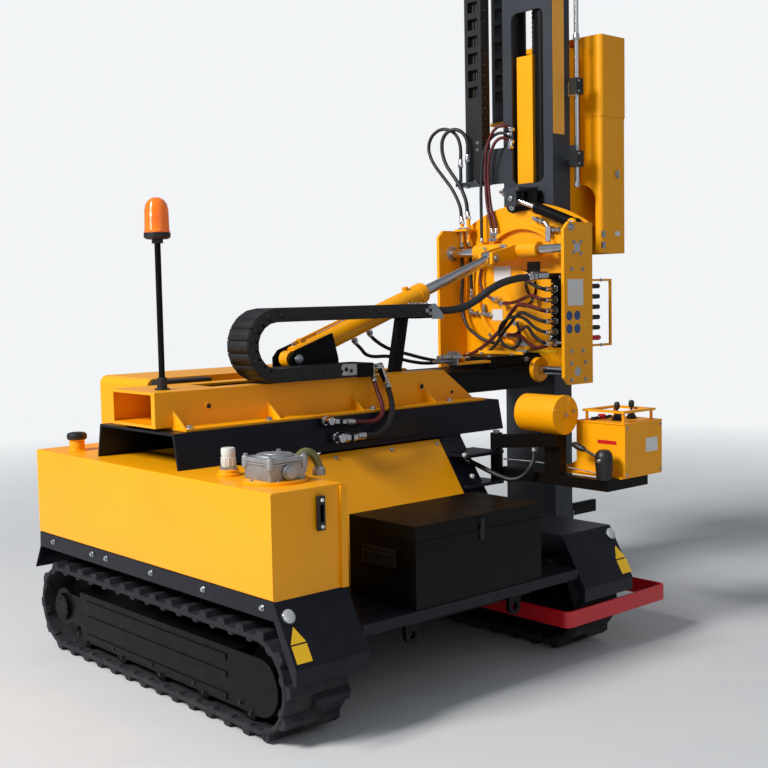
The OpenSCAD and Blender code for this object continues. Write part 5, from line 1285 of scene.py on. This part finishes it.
# Mast
# A folded graphite channel with a long window and a blank yellow stripe. The feed
# cylinder and a lift chain stand in it, a chromed trip tube is clamped at its side.

# Graphite enamel, less glossy than the yellow
mast_grey = sprayed_enamel(
    "sprayed_enamel_mast_grey", "mast_paint", "#2C3036", "#32363D", 0.42, 0.0, 0.35)
rounded_copy("mast_column", mast_grey, 3)
rounded_copy("mast_cylinder", black, 3)
rounded_copy("pile_guide", black, 3)
rounded_copy("trip_tube", chrome, 1)
trip = (1805, -53)
clamp_rows = (2355, 2749, 3500)
bm = bmesh.new()
turned(bm, (1716, 112, 3950), up, [(0, 96), (20, 96), (24, 90)], 40)
piece("feed_gland", bm, black, "mast", 0.6)
bm = bmesh.new()
cuboid(bm, (1658, -9.2, 2490), (1752, -8, 3960))
# Amber vinyl with nothing printed on it
stripe = moulded_plastic("blank_vinyl_amber", "yellow_paint", "#FFB43C", "#F8AC36", 0.4, 20.0, 0.02)
piece("mast_stripe", bm, stripe, "mast", 0)
bm = bmesh.new()
for z in clamp_rows:
    cuboid(bm, (1766, -84, z - 44), (1826, -30, z + 44))
    cuboid(bm, (1772, -40, z - 30), (1800, -8, z + 30))
piece("trip_clamps", bm, cap_plastic, "mast", 2)
bm = bmesh.new()
for z in clamp_rows:
    for dz in (-28, 28):
        bolt(bm, (1784, -84, z + dz), front, 9)
turned(bm, (*trip, 3000), up, [(0, 30), (6, 36), (30, 36), (36, 28), (40, 28)], 24)
turned(bm, (*trip, 2205), up, [(0, 34), (16, 34), (18, 28), (25, 28)], 24)
turned(bm, (*trip, 3680), up, [(0, 32), (14, 34), (20, 28), (22, 10)], 24)
for z in (360, 380):
    for y in (10, 338):
        bolt(bm, (1820, y, z - 10), right, 14)
piece("mast_bolts", bm, zinc, "mast", 0.6)
# Leaf chain that lifts the hammer: rows of flat plates on pins
bm = bmesh.new()
z = 2340
while z < 3900:
    for x, dz in ((1732, 0), (1738, 13), (1744, 0), (1750, 13)):
        cuboid(bm, (x, 184, z + dz), (x + 4, 204, z + dz + 22))
    rod(bm, (1728, 194, z + 5.5), (1758, 194, z + 5.5), 8, 8)
    z += 26
piece("lift_chain", bm, oxide, "mast", 0)
bm = bmesh.new()
for node in ("mast_hose_a", "mast_hose_b"):
    fitted(bm, node, last=48)
    end = ends(node, last=44)[1]
    rod(bm, (end.x, end.y, 2238), (end.x, end.y, 2253), 34, 6)
fitted(bm, "feed_hose", first=28)
rod(bm, (1640, 292, 2452), (1640, 292, 2478), 30, 6)
rod(bm, (1630, 292, 2446), (1654, 292, 2446), 24, 20)
for z in (2458, 2498):
    bolt(bm, (1654, 560, z), left, 13)
for y in (545, 650):
    bolt(bm, (1612, y, 2270), up, 12)
piece("mast_fittings", bm, chrome, "mast", 0.6)
mast_lines = [
    [(1640, 300, 2552), (1616, 320, 2566), (1599, 356, 2558), (1589, 396, 2510), (1585, 424, 2440),
     (1585, 435, 2340), (1586, 434, 2240), (1586, 426, 2140), (1586, 406, 2050), (1586, 392, 1990)],
    [(1640, 302, 2484), (1614, 320, 2498), (1597, 350, 2488), (1588, 384, 2440), (1585, 408, 2370),
     (1585, 413, 2280), (1586, 407, 2180), (1586, 390, 2090), (1586, 364, 2020), (1586, 358, 1990)]]
for i, route in enumerate(mast_lines):
    hose("mast_line_%d" % (i + 1), route, 18, red_cover, ("mast", "carriage"))
bm = bmesh.new()
fixed = bmesh.new()
for route in mast_lines:
    start, end = Vector(route[0]), Vector(route[-1])
    out = (start - Vector(route[1])).normalized()
    ferrule(bm, start - out, start + 26 * out, 18)
    port = start + 24 * out
    rod(bm, port, (1654, port.y, port.z), 22, 20)
    rod(bm, (1642, port.y, port.z), (1654, port.y, port.z), 32, 6)
    ferrule(fixed, end + up, end + 40 * down, 18)
    rod(fixed, end + 36 * down, end + 60 * down, 20, 20)
    cuboid(fixed, (end.x - 16, end.y - 16, end.z - 70), (1610, end.y + 16, end.z - 56))
piece("mast_line_ends", bm, chrome, "mast", 0.5)
piece("mast_line_clamps", fixed, chrome, "carriage", 0.5)

# Mast chain
# A second nylon energy chain rises from its foot on the mast, turns over the top and
# comes down to the hammer's arm. Its open rungs show the hoses that run inside.

# The rising and the falling run, and the bend's middle and radius
rise_x, fall_x, chain_y, bend_z = 1689, 1919, 590, 3540
mast_bend, mast_pitch = 115, 62
places = []
for x, z in ((rise_x, 2490), (fall_x, 2677)):
    while z < 3520:
        places.append(((x, chain_y, z), math.pi / 2))
        z += mast_pitch
for degrees in range(170, 9, -20):
    turn = math.radians(degrees)
    reach = mast_bend * math.cos(math.radians(10))
    x, z = rise_x + mast_bend + reach * math.cos(turn), bend_z + reach * math.sin(turn)
    places.append(((x, chain_y, z), math.pi / 2 - turn))
inner_hoses = [((rise_x, y, 2700), (rise_x, y, 3500), d) for y, d in ((566, 18), (588, 20), (612, 18))]
linked("mast_chain_links", "mast_chain", places, (50, 60, 130),
       inner_hoses)

# Hammer
# A yellow sheet housing with a proud cap over the hydraulic hammer, guided on the mast
# by its slide. The round drive cap under it is forged steel.
rounded_copy("hammer_housing", yellow, 2.5)
rounded_copy("hammer_slide", yellow, 3)
# Forged steel, dark and a little oily
forged = bare_metal("forged_steel_oiled", "cast_steel", "#3A3A3C", "#2C2C2E", 0.42, 5.0, 0.3, 0.8)
rounded_copy("drive_cap", forged, 5)
bm = bmesh.new()
for z in (1881, 1942):
    cuboid(bm, (1938, -127, z - 18), (1962, -115, z + 18))
    rod(bm, (1950, -119, z), (1950, -128, z), 18, 6)
cuboid(bm, (2062, -122, 2264), (2074, -118, 2298))
cuboid(bm, (2078, -124, 2258), (2092, -118, 2304))
for x in (1980, 2120):
    for z in (1870, 2540):
        bolt(bm, (x, 463, z), rear, 14)
piece("hammer_bolts", bm, zinc, "hammer", 0.8)
bm = bmesh.new()
cuboid(bm, (2058, -120, 1934), (2104, -119, 1960))
piece("hammer_blank_label", bm, white_vinyl, "hammer", 0)
bm = bmesh.new()
turned(bm, (2031.5, 174, 1838), down, [(0, 0), (0, 190), (20, 190), (24, 176), (36, 176), (38, 152),
    (41, 150)], 48, solid=False)
piece("drive_cap_ring", bm, forged, "hammer", 1)

# Console
# A yellow control box on a swinging arm, with a rail on posts, two joysticks, blank
# plates and a drum for the remote lead. A clamping lever and a wire stay hold the arm.
rounded_copy("console_arm", black, 2.5)
rounded_copy("console_box", yellow, 3)
rounded_copy("console_drum", yellow, 2)
console_top = 1024
bm = bmesh.new()
cuboid(bm, (939, -1018, 1016), (1229, -734, console_top))
piece("console_lid", bm, yellow, "console", 2)
bm = bmesh.new()
for x in (1040, 1150):
    turned(bm, (x, -900, console_top), up, [(0, 0), (0, 52), (3, 54), (6, 44), (9, 48), (13, 38),
        (16, 42), (20, 30), (24, 34), (28, 20), (30, 11), (52, 11), (54, 22), (62, 27), (76, 27),
        (86, 20), (88, 0)], 32, solid=False)
for x in (990, 1020, 1085, 1115, 1190):
    turned(bm, (x, -800, console_top), up, [(0, 26), (4, 26), (5, 20), (12, 20), (14, 16)], 24)
piece("console_controls", bm, cap_plastic, "console", 0.4)
bm = bmesh.new()
turned(bm, (1055, -800, console_top), up, [(0, 34), (5, 34), (6, 22), (12, 22), (13, 36), (20, 36),
    (23, 28)], 32)
cuboid(bm, (942, -970, 924), (943, -862, 941))
piece("console_red_parts", bm, red, "console", 0.3)
bm = bmesh.new()
cuboid(bm, (1100, -1019, 880), (1190, -1018, 945))
piece("console_blank_plate", bm, white_vinyl, "console", 0)
bm = bmesh.new()
for x in (955, 1213):
    for z in (790, 1002):
        bolt(bm, (x, -1018, z), front, 9)
for z in (800, 985):
    for y in (-1000, -755):
        bolt(bm, (1225, y, z), right, 9)
rod(bm, (830, -330, 862), (830, -330, 880), 44, 6)
bolt(bm, (830, -330, 938), up, 30)
bolt(bm, (826, -960, 862), left, 13)
for y in (-650, -610):
    bolt(bm, (952, y, 792), up, 13)
rod(bm, (894, -766, 1071), (894, -756, 1071), 16, 20)
rod(bm, (838, -768, 1057), (838, -758, 1057), 24, 6)
fitted(bm, "console_hose", last=29)
piece("console_bolts", bm, zinc, "console", 0.6)
# Clamping lever on the arm's bar, in its moulded boot under the box
bm = bmesh.new()
turned(bm, (864, -960, 772), up, [(0, 0), (0, 70), (30, 72), (70, 80), (104, 82), (124, 70), (136, 46),
    (140, 0)], 40, solid=False)
rod(bm, (856, -940, 868), (852, -858, 902), 13, 16)
turned(bm, (852, -866, 899), (-2, 80, 27), [(0, 0), (0, 14), (14, 26), (50, 32), (72, 26), (82, 12),
    (84, 0)], 24, solid=False)
piece("console_clamp", bm, cap_plastic, "console", 0.8)
bm = bmesh.new()
wire, _ = threaded(
    "console_stay", [(858, -350, 812), (880, -560, 812), (896, -760, 800), (905, -905, 790)], 7)
wire.data.materials.append(zinc)
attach(wire, "console")
turned(bm, (886, -620, 812), (6, -80, -6), [(0, 10), (6, 20), (74, 20), (80, 10)], 16)
piece("console_stay_buckle", bm, zinc, "console", 0.5)
